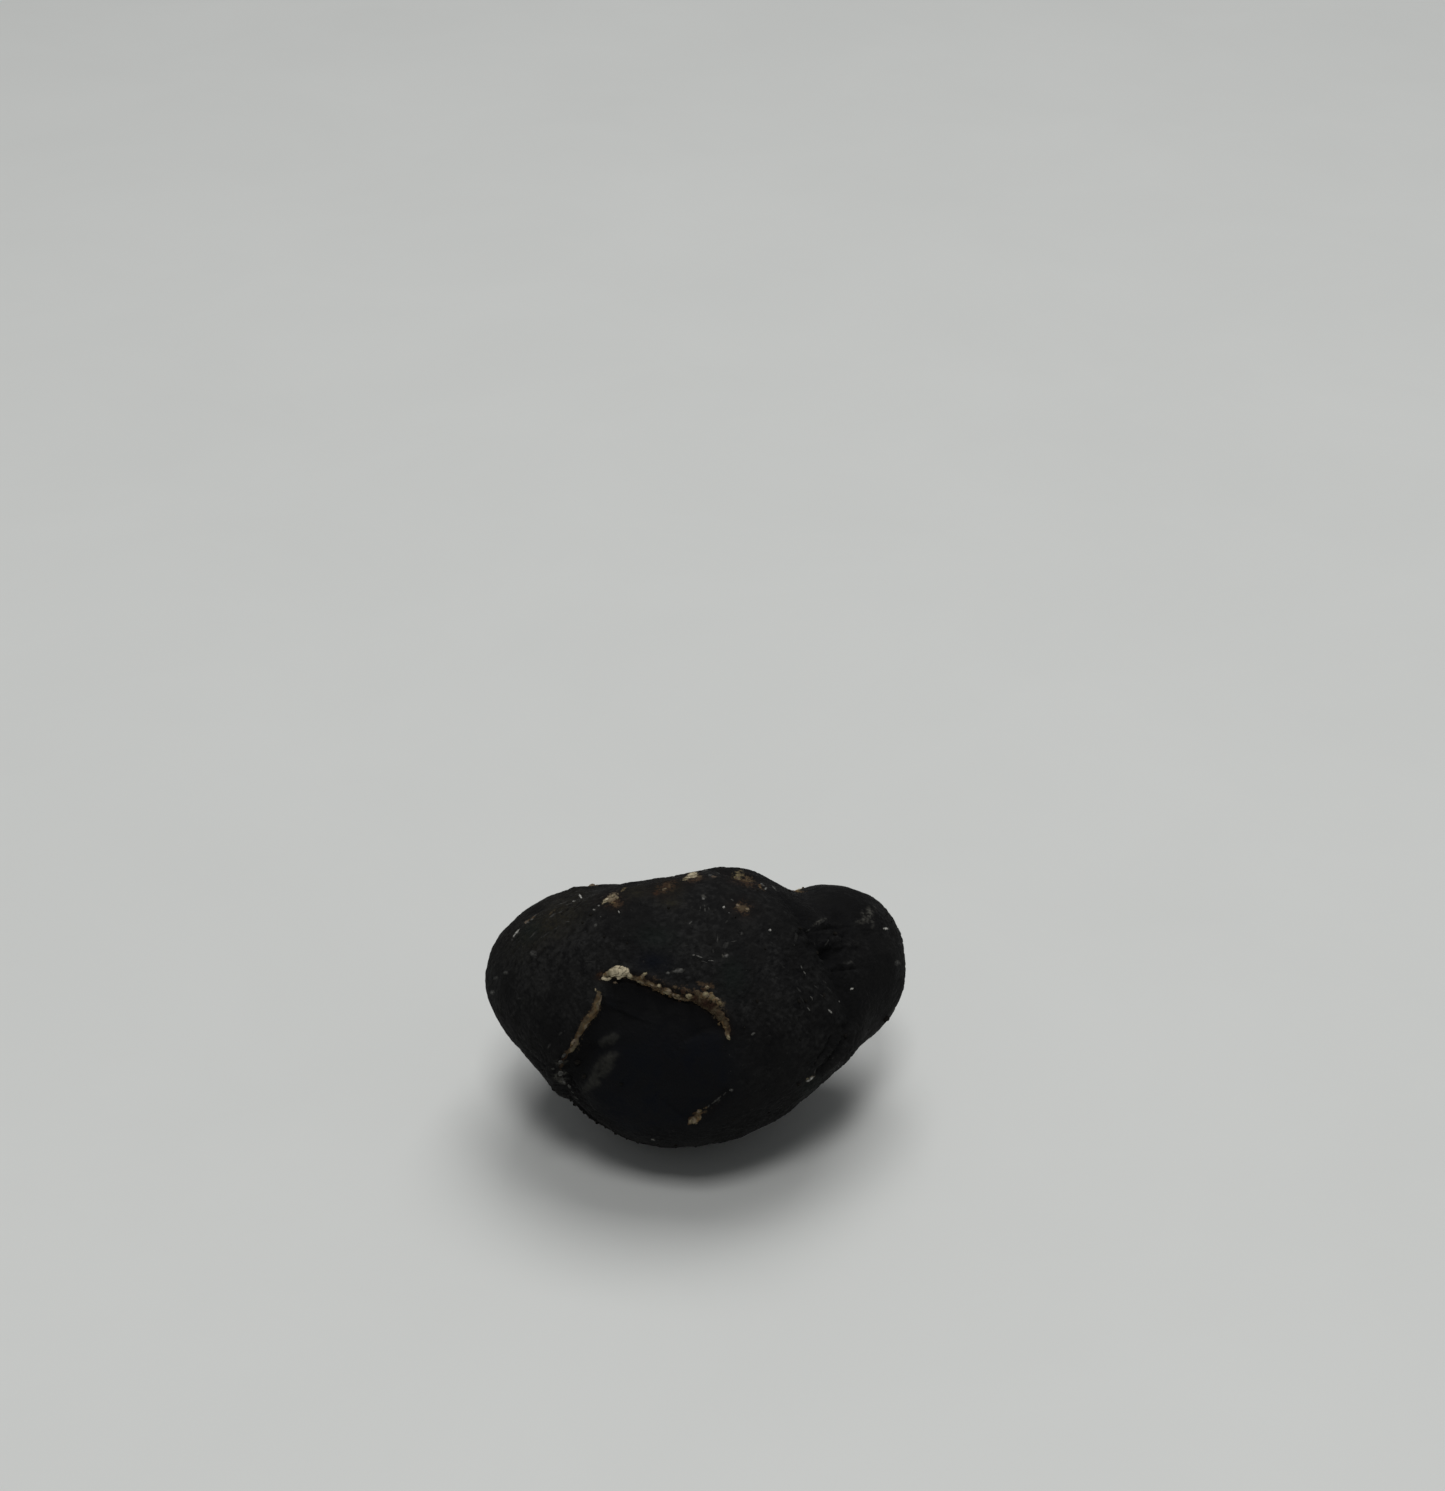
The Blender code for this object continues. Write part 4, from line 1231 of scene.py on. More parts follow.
# %% Pale flakes: scuffs, slivers and specks
FLECKS = (
    # across, up, half length, half width, clock angle, brightness
    (3.34, 12.5, 0.24, 0.2, 0, 1.0), (0.77, 13.7, 0.36, 0.22, -45, 0.6), (4.4, 13.5, 0.34, 0.18, -40, 0.4),
    (0.97, 12.3, 0.9, 0.14, 95, 0.36), (0.4, 12.4, 0.6, 0.12, 80, 0.32), (1.5, 12.2, 0.6, 0.12, 105, 0.32),
    (-0.8, 10.45, 0.5, 0.14, 45, 0.45), (5.6, 9.3, 0.28, 0.26, 0, 0.4), (9.1, 9.7, 0.22, 0.2, 0, 1.0),
    (8.6, 14.9, 0.24, 0.18, 20, 0.7), (9.65, 14.9, 0.6, 0.15, -45, 0.45), (2.55, 8.5, 1.0, 0.13, 85, 0.36),
    (3.64, 6.5, 0.4, 0.34, 0, 0.5), (3.6, 7.8, 0.6, 0.4, 60, 0.3), (4.6, 8.3, 0.7, 0.12, 10, 0.3),
    (-0.45, 6.55, 0.3, 0.15, -10, 0.6), (0.3, 6.3, 0.75, 0.11, -22, 0.75), (1.75, 5.85, 0.6, 0.1, -8, 0.6),
    (0.9, 5.75, 0.9, 0.09, -14, 0.4), (-3.3, 6.9, 0.9, 0.1, 20, 0.25), (-1.5, 7.6, 0.7, 0.1, 12, 0.28),
    (-2.3, 4.6, 0.8, 0.36, 5, 0.56), (-3.6, 4.3, 0.3, 0.28, 0, 0.46), (1.6, 16.25, 0.4, 0.2, 0, 0.4),
    (1.0, 16.8, 0.8, 0.12, 3, 0.4), (2.8, 16.85, 0.9, 0.12, 0, 0.4), (8.1, 15.4, 0.6, 0.14, -32, 0.5),
    (-14.6, 13.9, 0.4, 0.17, 112, 1.1), (-15.4, 13.3, 0.42, 0.13, 14, 0.9), (-17.0, 13.2, 1.1, 0.12, 20, 0.4),
    (-16.2, 12.9, 0.8, 0.1, 12, 0.35), (-12.75, 12.1, 0.24, 0.2, 0, 0.6), (-12.16, 12.6, 0.2, 0.16, 0, 0.6),
    (-12.57, 10.2, 0.32, 0.22, 30, 0.6), (-9.6, 11.7, 0.15, 0.3, 20, 0.85), (-11.9, 11.2, 0.16, 0.14, 0, 0.4),
    (-22.65, 9.3, 1.3, 0.19, 52, 1.0), (-20.4, 11.6, 0.36, 0.18, 38, 0.55),
    (-20.75, 11.05, 0.3, 0.16, 45, 0.5), (-21.2, 10.65, 0.3, 0.2, 30, 0.45),
    (-18.1, 11.55, 0.8, 0.16, 38, 0.38), (-17.0, 12.0, 0.7, 0.12, 30, 0.32),
    (-16.2, 10.8, 0.4, 0.12, 10, 0.4), (-20.4, 9.2, 1.0, 0.13, 46, 0.32), (-19.0, 9.0, 1.2, 0.12, 40, 0.28),
    (-17.6, 9.9, 1.0, 0.11, 30, 0.26), (-20.3, 6.7, 0.7, 0.5, 20, 0.36), (-23.6, 4.3, 0.5, 0.3, 0, 0.36),
    (-24.9, 3.7, 0.4, 0.3, 60, 0.36), (-25.2, 1.9, 0.36, 0.3, 80, 0.5), (-13.4, 5.7, 1.3, 0.09, -5, 0.26),
    (-22.0, 1.2, 0.3, 0.2, 0, 0.26), (-19.0, 3.2, 0.8, 0.1, 100, 0.24), (13.1, 5.1, 0.4, 0.11, -62, 0.5),
    (13.5, 4.4, 0.5, 0.12, -58, 0.55), (14.3, 1.2, 0.55, 0.12, -58, 0.6), (13.9, -0.1, 0.55, 0.12, -42, 0.55),
    (16.5, -0.4, 0.5, 0.18, -50, 0.8), (18.25, 0.83, 0.2, 0.18, 0, 0.6), (19.4, 2.4, 0.2, 0.19, 0, 1.2),
    (23.3, 9.75, 0.62, 0.19, 4, 1.05), (25.2, 9.4, 0.4, 0.14, -75, 0.7), (24.6, 5.5, 0.45, 0.4, 60, 0.42),
    (14.4, 10.0, 0.5, 0.14, 30, 0.28), (15.5, 10.6, 0.5, 0.2, 30, 0.26), (16.3, 8.2, 0.1, 0.5, 0, 0.24),
    (18.7, 5.5, 0.4, 0.2, 0, 0.28), (12.4, 8.8, 0.3, 0.7, 0, 0.24), (15.9, 3.2, 0.9, 0.1, -35, 0.32),
    (16.7, 2.4, 0.8, 0.1, -32, 0.32), (15.7, 1.4, 0.8, 0.1, -38, 0.3), (12.6, 2.2, 0.8, 0.11, -48, 0.32),
    (13.0, 1.0, 0.8, 0.1, -50, 0.3), (14.8, 2.6, 0.7, 0.1, -42, 0.3), (14.0, -8.7, 1.0, 0.2, 38, 0.85),
    (14.9, -7.95, 0.5, 0.14, 45, 0.6), (17.2, -6.9, 0.9, 0.1, -52, 0.4), (6.8, -3.1, 0.42, 0.19, 40, 0.6),
    (-5.4, -16.1, 0.4, 0.17, -15, 0.7), (2.45, -11.5, 1.15, 0.24, 42, 0.4),
    (4.25, -10.05, 0.34, 0.26, 52, 0.55), (3.5, -10.7, 0.6, 0.12, 48, 0.3),
    (1.35, -12.4, 0.5, 0.18, 42, 0.36), (-16.6, -3.1, 0.4, 0.2, 40, 0.3), (-18.0, -4.6, 0.5, 0.2, 60, 0.28),
)
NODULES = (
    # across, up, half length, half width, clock angle, height, brightness
    (-17.15, -8.1, 0.34, 0.38, 0, 0.24, 0.54), (-16.85, -9.1, 0.2, 0.5, 25, 0.2, 0.46),
    (-16.3, -10.0, 0.3, 0.22, -40, 0.2, 0.42), (-16.8, -6.6, 0.3, 0.75, -40, 0.16, 0.42),
    (-16.4, -5.8, 0.2, 0.5, -40, 0.14, 0.36), (-15.9, -10.7, 0.24, 0.16, -40, 0.16, 0.4),
    (-15.4, -11.3, 0.36, 0.16, -42, 0.16, 0.38), (-17.4, -7.3, 0.2, 0.14, 0, 0.14, 0.36),
)
FLECK_RINGS = (0.4, 0.75, 1.0)
FLECK_SPOKES = 12
FLECK_RAGGED = 0.42
FLECK_LIFT = 0.28
FLECK_RIM_SINK = 0.035
FLECK_FADE = 0.75
NODULE_ROUGH = 0.4
SPECK_COUNT = 420
SPECK_SEED = 71
SPECK_SIZES = (0.06, 0.17)
SPECK_LONGEST = 2.6
SPECK_DIMMEST = 0.15
SPECK_BRIGHTER = 0.3


def flake_faces():
    """A fan in the middle and bands of four-sided faces round it."""
    spokes = range(FLECK_SPOKES)
    fan = [(0, 1 + spoke, 1 + (spoke + 1) % FLECK_SPOKES) for spoke in spokes]
    bands = []
    for ring in range(len(FLECK_RINGS) - 1):
        inner = 1 + ring * FLECK_SPOKES
        outer = inner + FLECK_SPOKES
        for spoke in spokes:
            after = (spoke + 1) % FLECK_SPOKES
            bands.append((inner + spoke, outer + spoke, outer + after))
            bands.append((inner + spoke, outer + after, inner + after))
    return np.array(fan + bands)


FLAKE_FACES = flake_faces()
RING_SHARES = np.repeat((0.0,) + FLECK_RINGS, (1,) + (FLECK_SPOKES,) * len(FLECK_RINGS))
one_ring = np.arange(FLECK_SPOKES) * 2 * math.pi / FLECK_SPOKES
SPOKE_TURNS = np.concatenate([[0.0]] + [one_ring] * len(FLECK_RINGS))


def ragged_ring(seed, half_length, half_width):
    """Where the flake's points lie along and beside its middle, with an uneven outline."""
    edges = [Vector((math.cos(turn), math.sin(turn), 0)) * 1.3 + Vector(seed) for turn in SPOKE_TURNS]
    reach = RING_SHARES * (1 + FLECK_RAGGED * np.array([noise.noise(edge) for edge in edges]))
    return half_length * reach * np.cos(SPOKE_TURNS), half_width * reach * np.sin(SPOKE_TURNS)


def flake(points, half_width, bright):
    """The points laid on the skin, the middle lifted and the rim sunk, with faces and brightness."""
    lifts = half_width * FLECK_LIFT * (1 - RING_SHARES**2) - FLECK_RIM_SINK * RING_SHARES
    laid = [on_skin(point) for point in points]
    places = np.array([place + normal * lift for (place, normal), lift in zip(laid, lifts)])
    return places, FLAKE_FACES, bright * (1 - FLECK_FADE * RING_SHARES**2)


def seen_flake(across, up, half_length, half_width, clock, bright):
    """A flake whose outline is right in the camera's view."""
    turn = math.radians(clock)
    along, beside = ragged_ring((across, up, 0), half_length, half_width)
    right = across + along * math.cos(turn) - beside * math.sin(turn)
    top = up + along * math.sin(turn) + beside * math.cos(turn)
    return flake(seen_points(right, top), half_width, bright)


def lying_flake(point, half_length, half_width, clock, bright):
    middle, normal = on_skin(point)
    axes = lying_axes(normal, clock)
    along, beside = ragged_ring(middle, half_length, half_width)
    return flake(middle + np.outer(along, axes[0]) + np.outer(beside, axes[1]), half_width, bright)


def finish_piece(name, parts, values=None):
    piece = new_piece(name, joined(name, [(points * MM, faces) for points, faces in parts]))
    if values is not None:
        store(piece.data, "bright", np.array(values))
    piece.data.shade_smooth()
    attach(piece, BODY)
    return piece


flakes = [seen_flake(*fleck) for fleck in FLECKS]
for across, up, half_length, half_width, clock, height, bright in NODULES:
    place, normal = on_skin(seen_at(across, up))
    lump, faces = ball(place, lying_axes(normal, clock), (half_length, half_width, height), NODULE_ROUGH)
    flakes.append((lump, faces, np.full(len(lump), bright)))
draw = random.Random(SPECK_SEED)
for _ in range(SPECK_COUNT):
    point = HEART + unit(np.array([draw.gauss(0, 1), draw.gauss(0, 1), draw.gauss(0.25, 1)]))
    size = SPECK_SIZES[0] + (SPECK_SIZES[1] - SPECK_SIZES[0]) * draw.random() ** 2
    shape = (size * draw.uniform(1, SPECK_LONGEST), size, draw.uniform(0, 180))
    bright = SPECK_DIMMEST + SPECK_BRIGHTER * draw.random() ** 4
    if on_skin(point)[0][2] > size and not on_calm_skin(point):
        flakes.append(lying_flake(point, *shape, bright))
brightness = np.concatenate([values for _, _, values in flakes])
pale_flecks = finish_piece("pale_flecks", [(points, faces) for points, faces, _ in flakes], brightness)
print("flakes:", len(flakes))

# %% Soil crumbs in the folds and one on the edge
CRUMBS = (
    # across, up, size
    (24.2, -1.3, 0.34), (17.3, 9.2, 0.24), (15.4, 7.0, 0.22), (-15.6, -7.0, 0.32), (-14.2, -8.6, 0.26),
    (12.9, 9.9, 0.2), (18.6, -3.4, 0.22), (-9.4, -9.4, 0.16), (12.6, -9.4, 0.2), (-16.4, -10.9, 0.18),
    (-15.8, -11.5, 0.15), (-15.2, -11.9, 0.2), (-14.5, -12.4, 0.14), (-13.9, -12.8, 0.18),
    (-13.1, -13.3, 0.15), (-12.2, -13.9, 0.18), (-11.2, -14.5, 0.14), (-10.0, -15.3, 0.17),
    (-8.6, -15.9, 0.13), (-7.3, -16.4, 0.16),
    (-17.4, -9.9, 0.18), (-18.1, -8.9, 0.14), (-18.8, -7.6, 0.13), (-2.6, -16.9, 0.16), (9.0, -13.0, 0.16),
)
CRUMB_COUNT = 130
CRUMB_SEED = 83
CRUMB_SIZES = (0.08, 0.22)
CRUMB_ROUGH = 0.45


def crumb(point, half_length, half_width, clock, height):
    place, normal = on_skin(point)
    return ball(place, lying_axes(normal, clock), (half_length, half_width, height), CRUMB_ROUGH)


crumbs = [crumb(seen_at(across, up), size * 1.3, size, 10, size * 1.3) for across, up, size in CRUMBS]
draw = random.Random(CRUMB_SEED)
for _ in range(CRUMB_COUNT):
    point = HEART + unit(np.array([draw.gauss(0, 1), draw.gauss(0, 1), draw.gauss(0, 1)]))
    size = CRUMB_SIZES[0] + (CRUMB_SIZES[1] - CRUMB_SIZES[0]) * draw.random() ** 2
    shape = (size * draw.uniform(1, 1.5), size, draw.uniform(0, 180), size * 0.8)
    if on_skin(point)[0][2] > 2 * size and not on_calm_skin(point):
        crumbs.append(crumb(point, *shape))
soil_crumbs = finish_piece("soil_crumbs", crumbs)
print("crumbs:", len(crumbs))

# %% [markdown]
# ## Shader helpers
#
# Every finish here is built from the same few nodes, so two short helpers save most of the typing:
# one adds a node with its values, one joins two sockets. Coordinates are taken in millimetres, so
# that a size in a material is the size on the truffle.

# %% Add a node, join two sockets
def add(tree, kind, settings=(), **values):
    node = tree.nodes.new(kind)
    for name, value in dict(settings).items():
        setattr(node, name, value)
    for name, value in values.items():
        node.inputs[name.replace("_", " ")].default_value = value
    return node


def join(tree, source, target):
    tree.links.new(source, target)


def millimetres(tree):
    """Object coordinates in millimetres."""
    place = add(tree, "ShaderNodeTexCoord")
    scale = add(tree, "ShaderNodeVectorMath", {"operation": "SCALE"}, Scale=1 / MM)
    join(tree, place.outputs["Object"], scale.inputs[0])
    return scale.outputs[0]


def calculate(tree, operation, first, second=None, clamp=False):
    """A Math node; first and second are sockets or plain numbers."""
    node = add(tree, "ShaderNodeMath", {"operation": operation, "use_clamp": clamp})
    for socket, value in zip(node.inputs, (first, second)):
        if isinstance(value, (int, float)):
            socket.default_value = value
        elif value is not None:
            join(tree, value, socket)
    return node.outputs[0]


def blend_colours(tree, amount, first, second):
    """A Mix node for colours; each is a socket or a plain colour."""
    node = add(tree, "ShaderNodeMix", {"data_type": "RGBA"})
    for socket, value in ((node.inputs[0], amount), (node.inputs[6], first), (node.inputs[7], second)):
        if isinstance(value, (int, float, tuple)):
            socket.default_value = value
        else:
            join(tree, value, socket)
    return node.outputs[2]


def spread_out(tree, value, low, high, start=0.0, end=1.0):
    """Map Range: low and high on the way in become start and end, smoothly."""
    node = add(tree, "ShaderNodeMapRange", {"interpolation_type": "SMOOTHSTEP"})
    node.inputs["From Min"].default_value = low
    node.inputs["From Max"].default_value = high
    node.inputs["To Min"].default_value = start
    node.inputs["To Max"].default_value = end
    join(tree, value, node.inputs["Value"])
    return node.outputs["Result"]


# %% [markdown]
# ## Two effects shared by the finishes
#
# Grain finer than the mesh can hold is needed on the skin, the flesh and the crumbs, at different
# sizes. So is uneven colour. Each is made once as a node group with named sockets, and every material
# sets its own values on it.

# %% Group: fine grain
def new_group(name, inputs, outputs):
    group = bpy.data.node_groups.new(name, "ShaderNodeTree")
    for label, kind, value in inputs:
        socket = group.interface.new_socket(name=label, in_out="INPUT", socket_type=kind)
        if value is not None:
            socket.default_value = value
    for label, kind in outputs:
        group.interface.new_socket(name=label, in_out="OUTPUT", socket_type=kind)
    return group, group.nodes.new("NodeGroupInput"), group.nodes.new("NodeGroupOutput")


def fine_grain_group():
    """Round grains of one size with finer grit on them."""
    group, given, made = new_group(
        "fine_grain",
        (
            ("Place", "NodeSocketVector", None),
            ("Grain Size", "NodeSocketFloat", 0.4),
            ("Grit", "NodeSocketFloat", 0.3),
        ),
        (("Height", "NodeSocketFloat"), ("Speckle", "NodeSocketFloat")),
    )
    per_mm = calculate(group, "DIVIDE", 1.0, given.outputs["Grain Size"])
    grains = add(group, "ShaderNodeTexVoronoi", {"feature": "F1"}, Randomness=1.0)
    join(group, given.outputs["Place"], grains.inputs["Vector"])
    join(group, per_mm, grains.inputs["Scale"])
    dome = spread_out(group, grains.outputs["Distance"], 0.75, 0.05)
    grit_scale = calculate(group, "MULTIPLY", per_mm, 2.7)
    grit = add(group, "ShaderNodeTexNoise", {}, Detail=3.0, Roughness=0.6)
    join(group, given.outputs["Place"], grit.inputs["Vector"])
    join(group, grit_scale, grit.inputs["Scale"])
    rough = calculate(group, "MULTIPLY", grit.outputs["Fac"], given.outputs["Grit"])
    join(group, calculate(group, "ADD", dome, rough), made.inputs["Height"])
    split = add(group, "ShaderNodeSeparateColor")
    join(group, grains.outputs["Color"], split.inputs["Color"])
    chosen = spread_out(group, split.outputs["Red"], 0.78, 0.98)
    join(group, calculate(group, "MULTIPLY", chosen, dome), made.inputs["Speckle"])
    return group


def uneven_tint_group():
    """Mixes two colours in cloudy patches of one size."""
    group, given, made = new_group(
        "uneven_tint",
        (
            ("Place", "NodeSocketVector", None),
            ("Patch Size", "NodeSocketFloat", 3.0),
            ("Contrast", "NodeSocketFloat", 0.5),
            ("First", "NodeSocketColor", None),
            ("Second", "NodeSocketColor", None),
        ),
        (("Colour", "NodeSocketColor"), ("Mask", "NodeSocketFloat")),
    )
    per_mm = calculate(group, "DIVIDE", 1.0, given.outputs["Patch Size"])
    cloud = add(group, "ShaderNodeTexNoise", {}, Detail=5.0, Roughness=0.62, Distortion=0.4)
    join(group, given.outputs["Place"], cloud.inputs["Vector"])
    join(group, per_mm, cloud.inputs["Scale"])
    centred = calculate(group, "SUBTRACT", cloud.outputs["Fac"], 0.5)
    steepness = calculate(group, "MULTIPLY", given.outputs["Contrast"], 8.0)
    sharper = calculate(group, "MULTIPLY", centred, steepness)
    mask = calculate(group, "ADD", sharper, 0.5, clamp=True)
    mixed = blend_colours(group, mask, given.outputs["First"], given.outputs["Second"])
    join(group, mixed, made.inputs["Colour"])
    join(group, mask, made.inputs["Mask"])
    return group


FINE_GRAIN = fine_grain_group()
UNEVEN_TINT = uneven_tint_group()


def place_grain(tree, place, size, grit):
    node = add(tree, "ShaderNodeGroup", {"node_tree": FINE_GRAIN}, Grain_Size=size, Grit=grit)
    join(tree, place, node.inputs["Place"])
    return node


def place_tint(tree, place, size, contrast, first, second):
    node = add(tree, "ShaderNodeGroup", {"node_tree": UNEVEN_TINT}, Patch_Size=size, Contrast=contrast)
    join(tree, place, node.inputs["Place"])
    for name, value in (("First", first), ("Second", second)):
        if isinstance(value, tuple):
            node.inputs[name].default_value = value
        else:
            join(tree, value, node.inputs[name])
    return node


print("groups:", FINE_GRAIN.name, UNEVEN_TINT.name)

# %% [markdown]
# ## Black skin
#
# The skin is as black as charcoal and quite matt, but it isn't one black: grain tops carry a trace of
# grey, dust and painted highlight in one, the left side leans to olive, the sunken face is smoother and
# blue-black, and round the rubbed spots it is stained a rusty brown. Shade is painted in as well: darker
# in cracks, pits, between the cells of the nest and on the knob top. One dark colour with a bump would
# look like rubber. So the colour is built in layers, each steered by one of the marks stored on the mesh
# and broken up by noise.

# %% Skin colours, as linear light
COAL = (0.0042, 0.0042, 0.0044, 1)
SOOT = (0.0084, 0.0083, 0.0081, 1)
# Grey for dust and for the painted highlight on grain tops.
DUST_AND_HIGHLIGHT_GREY = (0.0175, 0.0174, 0.0168, 1)
OLIVE_BROWN = (0.021, 0.0185, 0.0115, 1)
BLUE_BLACK = (0.0046, 0.0056, 0.0084, 1)
GREEN_BLACK = (0.007, 0.0098, 0.0084, 1)
MOUND_OLIVE = (0.037, 0.0366, 0.0318, 1)
MINERAL_GREY = (0.072, 0.07, 0.06, 1)
RUST_STAIN = (0.0125, 0.0066, 0.0046, 1)
SKIN_GRAIN = 0.42
SKIN_BUMP = 0.05


def mark(tree, name):
    node = add(tree, "ShaderNodeAttribute", {"attribute_name": name, "attribute_type": "GEOMETRY"})
    return node.outputs["Fac"]


def new_material(name, **values):
    material = bpy.data.materials.new(name)
    material.use_nodes = True
    tree = material.node_tree
    shader = tree.nodes["Principled BSDF"]
    for label, value in values.items():
        shader.inputs[label.replace("_", " ")].default_value = value
    return material, tree, shader


def bump_from(tree, shader, height, depth_mm):
    bump = add(tree, "ShaderNodeBump", {}, Strength=1.0, Distance=depth_mm * MM)
    join(tree, height, bump.inputs["Height"])
    join(tree, bump.outputs["Normal"], shader.inputs["Normal"])


# %% Flesh tones, from cream to rust
CREAM_FLESH = (0.62, 0.54, 0.375, 1)
YELLOW_FLESH = (0.22, 0.188, 0.108, 1)
PINK_FLESH = (0.205, 0.158, 0.118, 1)
OCHRE_FLESH = (0.165, 0.136, 0.073, 1)
TAN_FLESH = (0.148, 0.093, 0.045, 1)
OLIVE_FLESH = (0.098, 0.077, 0.046, 1)
BROWN_FLESH = (0.055, 0.036, 0.021, 1)
RUST_FLESH = (0.026, 0.012, 0.0075, 1)


def flesh_colour(tree):
    """The colour for the tone stored on the mesh."""
    ramp = add(tree, "ShaderNodeValToRGB")
    stops = ramp.color_ramp.elements
    stops[0].color = CREAM_FLESH
    stops[1].color = RUST_FLESH
    for position, colour in ((YELLOW_TONE, YELLOW_FLESH), (PINK_TONE, PINK_FLESH), (OCHRE_TONE, OCHRE_FLESH),
                             (TAN_TONE, TAN_FLESH), (OLIVE_TONE, OLIVE_FLESH), (BROWN_TONE, BROWN_FLESH)):
        stops.new(position).color = colour
    join(tree, mark(tree, "tone"), ramp.inputs["Fac"])
    return ramp.outputs["Color"]


# %% Black skin material
def skin_material():
    material, tree, shader = new_material("black_truffle_skin", Specular_IOR_Level=0.07)
    place = millimetres(tree)
    height = place_grain(tree, place, SKIN_GRAIN, 0.5).outputs["Height"]
    clouds = place_tint(tree, place, 2.4, 0.5, COAL, SOOT)
    colour = clouds.outputs["Colour"]
    mottle = place_tint(tree, place, 1.1, 0.45, COAL, SOOT).outputs["Mask"]
    small_clouds = place_tint(tree, place, 0.5, 0.5, COAL, SOOT).outputs["Mask"]

    def tinted(amount, tint, below):
        return blend_colours(tree, amount, below, tint)

    def times(first, second):
        return calculate(tree, "MULTIPLY", first, second)

    def mapped(value, start, end):
        return spread_out(tree, value, 0.0, 1.0, start, end)

    # Grey on grain tops and ridges: dust and painted highlight in one.
    patchy = times(mapped(mottle, 0.35, 1.1), mapped(small_clouds, 0.5, 1.0))
    raised = times(mapped(mark(tree, "grain"), 0.45, 1.0), mapped(mark(tree, "ridge"), 0.35, 1.6))
    grey_dust_and_highlight = times(times(patchy, raised), mark(tree, "dust_and_painted_light"))
    colour = tinted(spread_out(tree, grey_dust_and_highlight, 0.02, 0.75), DUST_AND_HIGHLIGHT_GREY, colour)
    broken = mapped(small_clouds, 0.3, 1.0)
    colour = tinted(times(mark(tree, "olive"), broken), OLIVE_BROWN, colour)
    colour = tinted(times(mark(tree, "greenish"), 0.7), GREEN_BLACK, colour)
    blotched = mapped(clouds.outputs["Mask"], 0.4, 1.0)
    colour = tinted(times(mark(tree, "bluish"), blotched), BLUE_BLACK, colour)
    colour = tinted(times(mark(tree, "mound"), mapped(small_clouds, 0.55, 1.0)), MOUND_OLIVE, colour)
    # Painted shade: the low mark darkens towards coal.
    colour = tinted(times(mark(tree, "low"), 0.92), COAL, colour)
    stained = times(mark(tree, "halo"), mapped(mottle, 0.5, 1.0))
    colour = tinted(spread_out(tree, stained, 0.1, 1.0, 0.0, 0.9), RUST_STAIN, colour)
    mineral = times(mark(tree, "mineral"), mapped(small_clouds, 0.3, 1.1))
    colour = tinted(spread_out(tree, mineral, 0.1, 1.0), MINERAL_GREY, colour)
    grit = place_tint(tree, place, 0.24, 0.6, COAL, SOOT).outputs["Mask"]
    torn = calculate(tree, "ADD", times(small_clouds, 0.38), times(grit, 0.22))
    torn_edge = calculate(tree, "ADD", mark(tree, "bare"), torn)
    pale = place_tint(tree, place, 0.42, 0.55, BROWN_FLESH, flesh_colour(tree)).outputs["Colour"]
    pale = blend_colours(tree, 0.4, pale, flesh_colour(tree))
    colour = tinted(spread_out(tree, torn_edge, 0.6, 1.02), pale, colour)
    join(tree, colour, shader.inputs["Base Color"])
    join(tree, mapped(clouds.outputs["Mask"], 0.72, 0.92), shader.inputs["Roughness"])
    bump_from(tree, shader, times(height, mapped(mark(tree, "sunken"), 1.0, 0.5)), SKIN_BUMP)
    return material


skin.data.materials.append(skin_material())
print("skin material nodes:", len(skin.data.materials[0].node_tree.nodes))

# %% [markdown]
# ## Flesh, grit and soil
#
# The flesh that shows is dry: cream where it is fresh, tan where it has browned, with painted shade in its
# hollows and between its grains. It could share the skin's material, but as a piece of its own it gets
# its own grain size and a softer bump. Grit and soil are the same idea in grey and brown.

# %% A dry, crumbly finish
# A dark brown, for cloudy dirt on the flesh and for its painted shade.
FLESH_DIRT_AND_SHADE = (0.026, 0.015, 0.008, 1)
GRIT_LIGHT = (0.5, 0.49, 0.45, 1)
GRIT_DARK = (0.0078, 0.0077, 0.0074, 1)
GRIT_SHADE = 2.2
SOIL_LIGHT = (0.012, 0.0105, 0.0085, 1)
SOIL_DARK = (0.004, 0.0036, 0.003, 1)


def flesh_material():
    """Flesh of every tone, with painted shade between its grains, in its hollows and where it meets the skin.
    """
    material, tree, shader = new_material("dry_flesh", Roughness=0.8, Specular_IOR_Level=0.1)
    place = millimetres(tree)
    height = place_grain(tree, place, 0.22, 0.7).outputs["Height"]
    stained = place_tint(tree, place, 0.6, 0.4, FLESH_DIRT_AND_SHADE, flesh_colour(tree)).outputs["Colour"]
    uneven = blend_colours(tree, 0.68, stained, flesh_colour(tree))
    # Painted shade: darker between the grains, and darker again in the crevices.
    grains = blend_colours(tree, spread_out(tree, height, 0.0, 0.6, 0.35, 1.0), stained, uneven)
    shaded_amount = calculate(tree, "MULTIPLY", mark(tree, "painted_crevice_shade"), 0.85)
    join(tree, blend_colours(tree, shaded_amount, grains, FLESH_DIRT_AND_SHADE), shader.inputs["Base Color"])
    bump_from(tree, shader, height, 0.03)
    return material


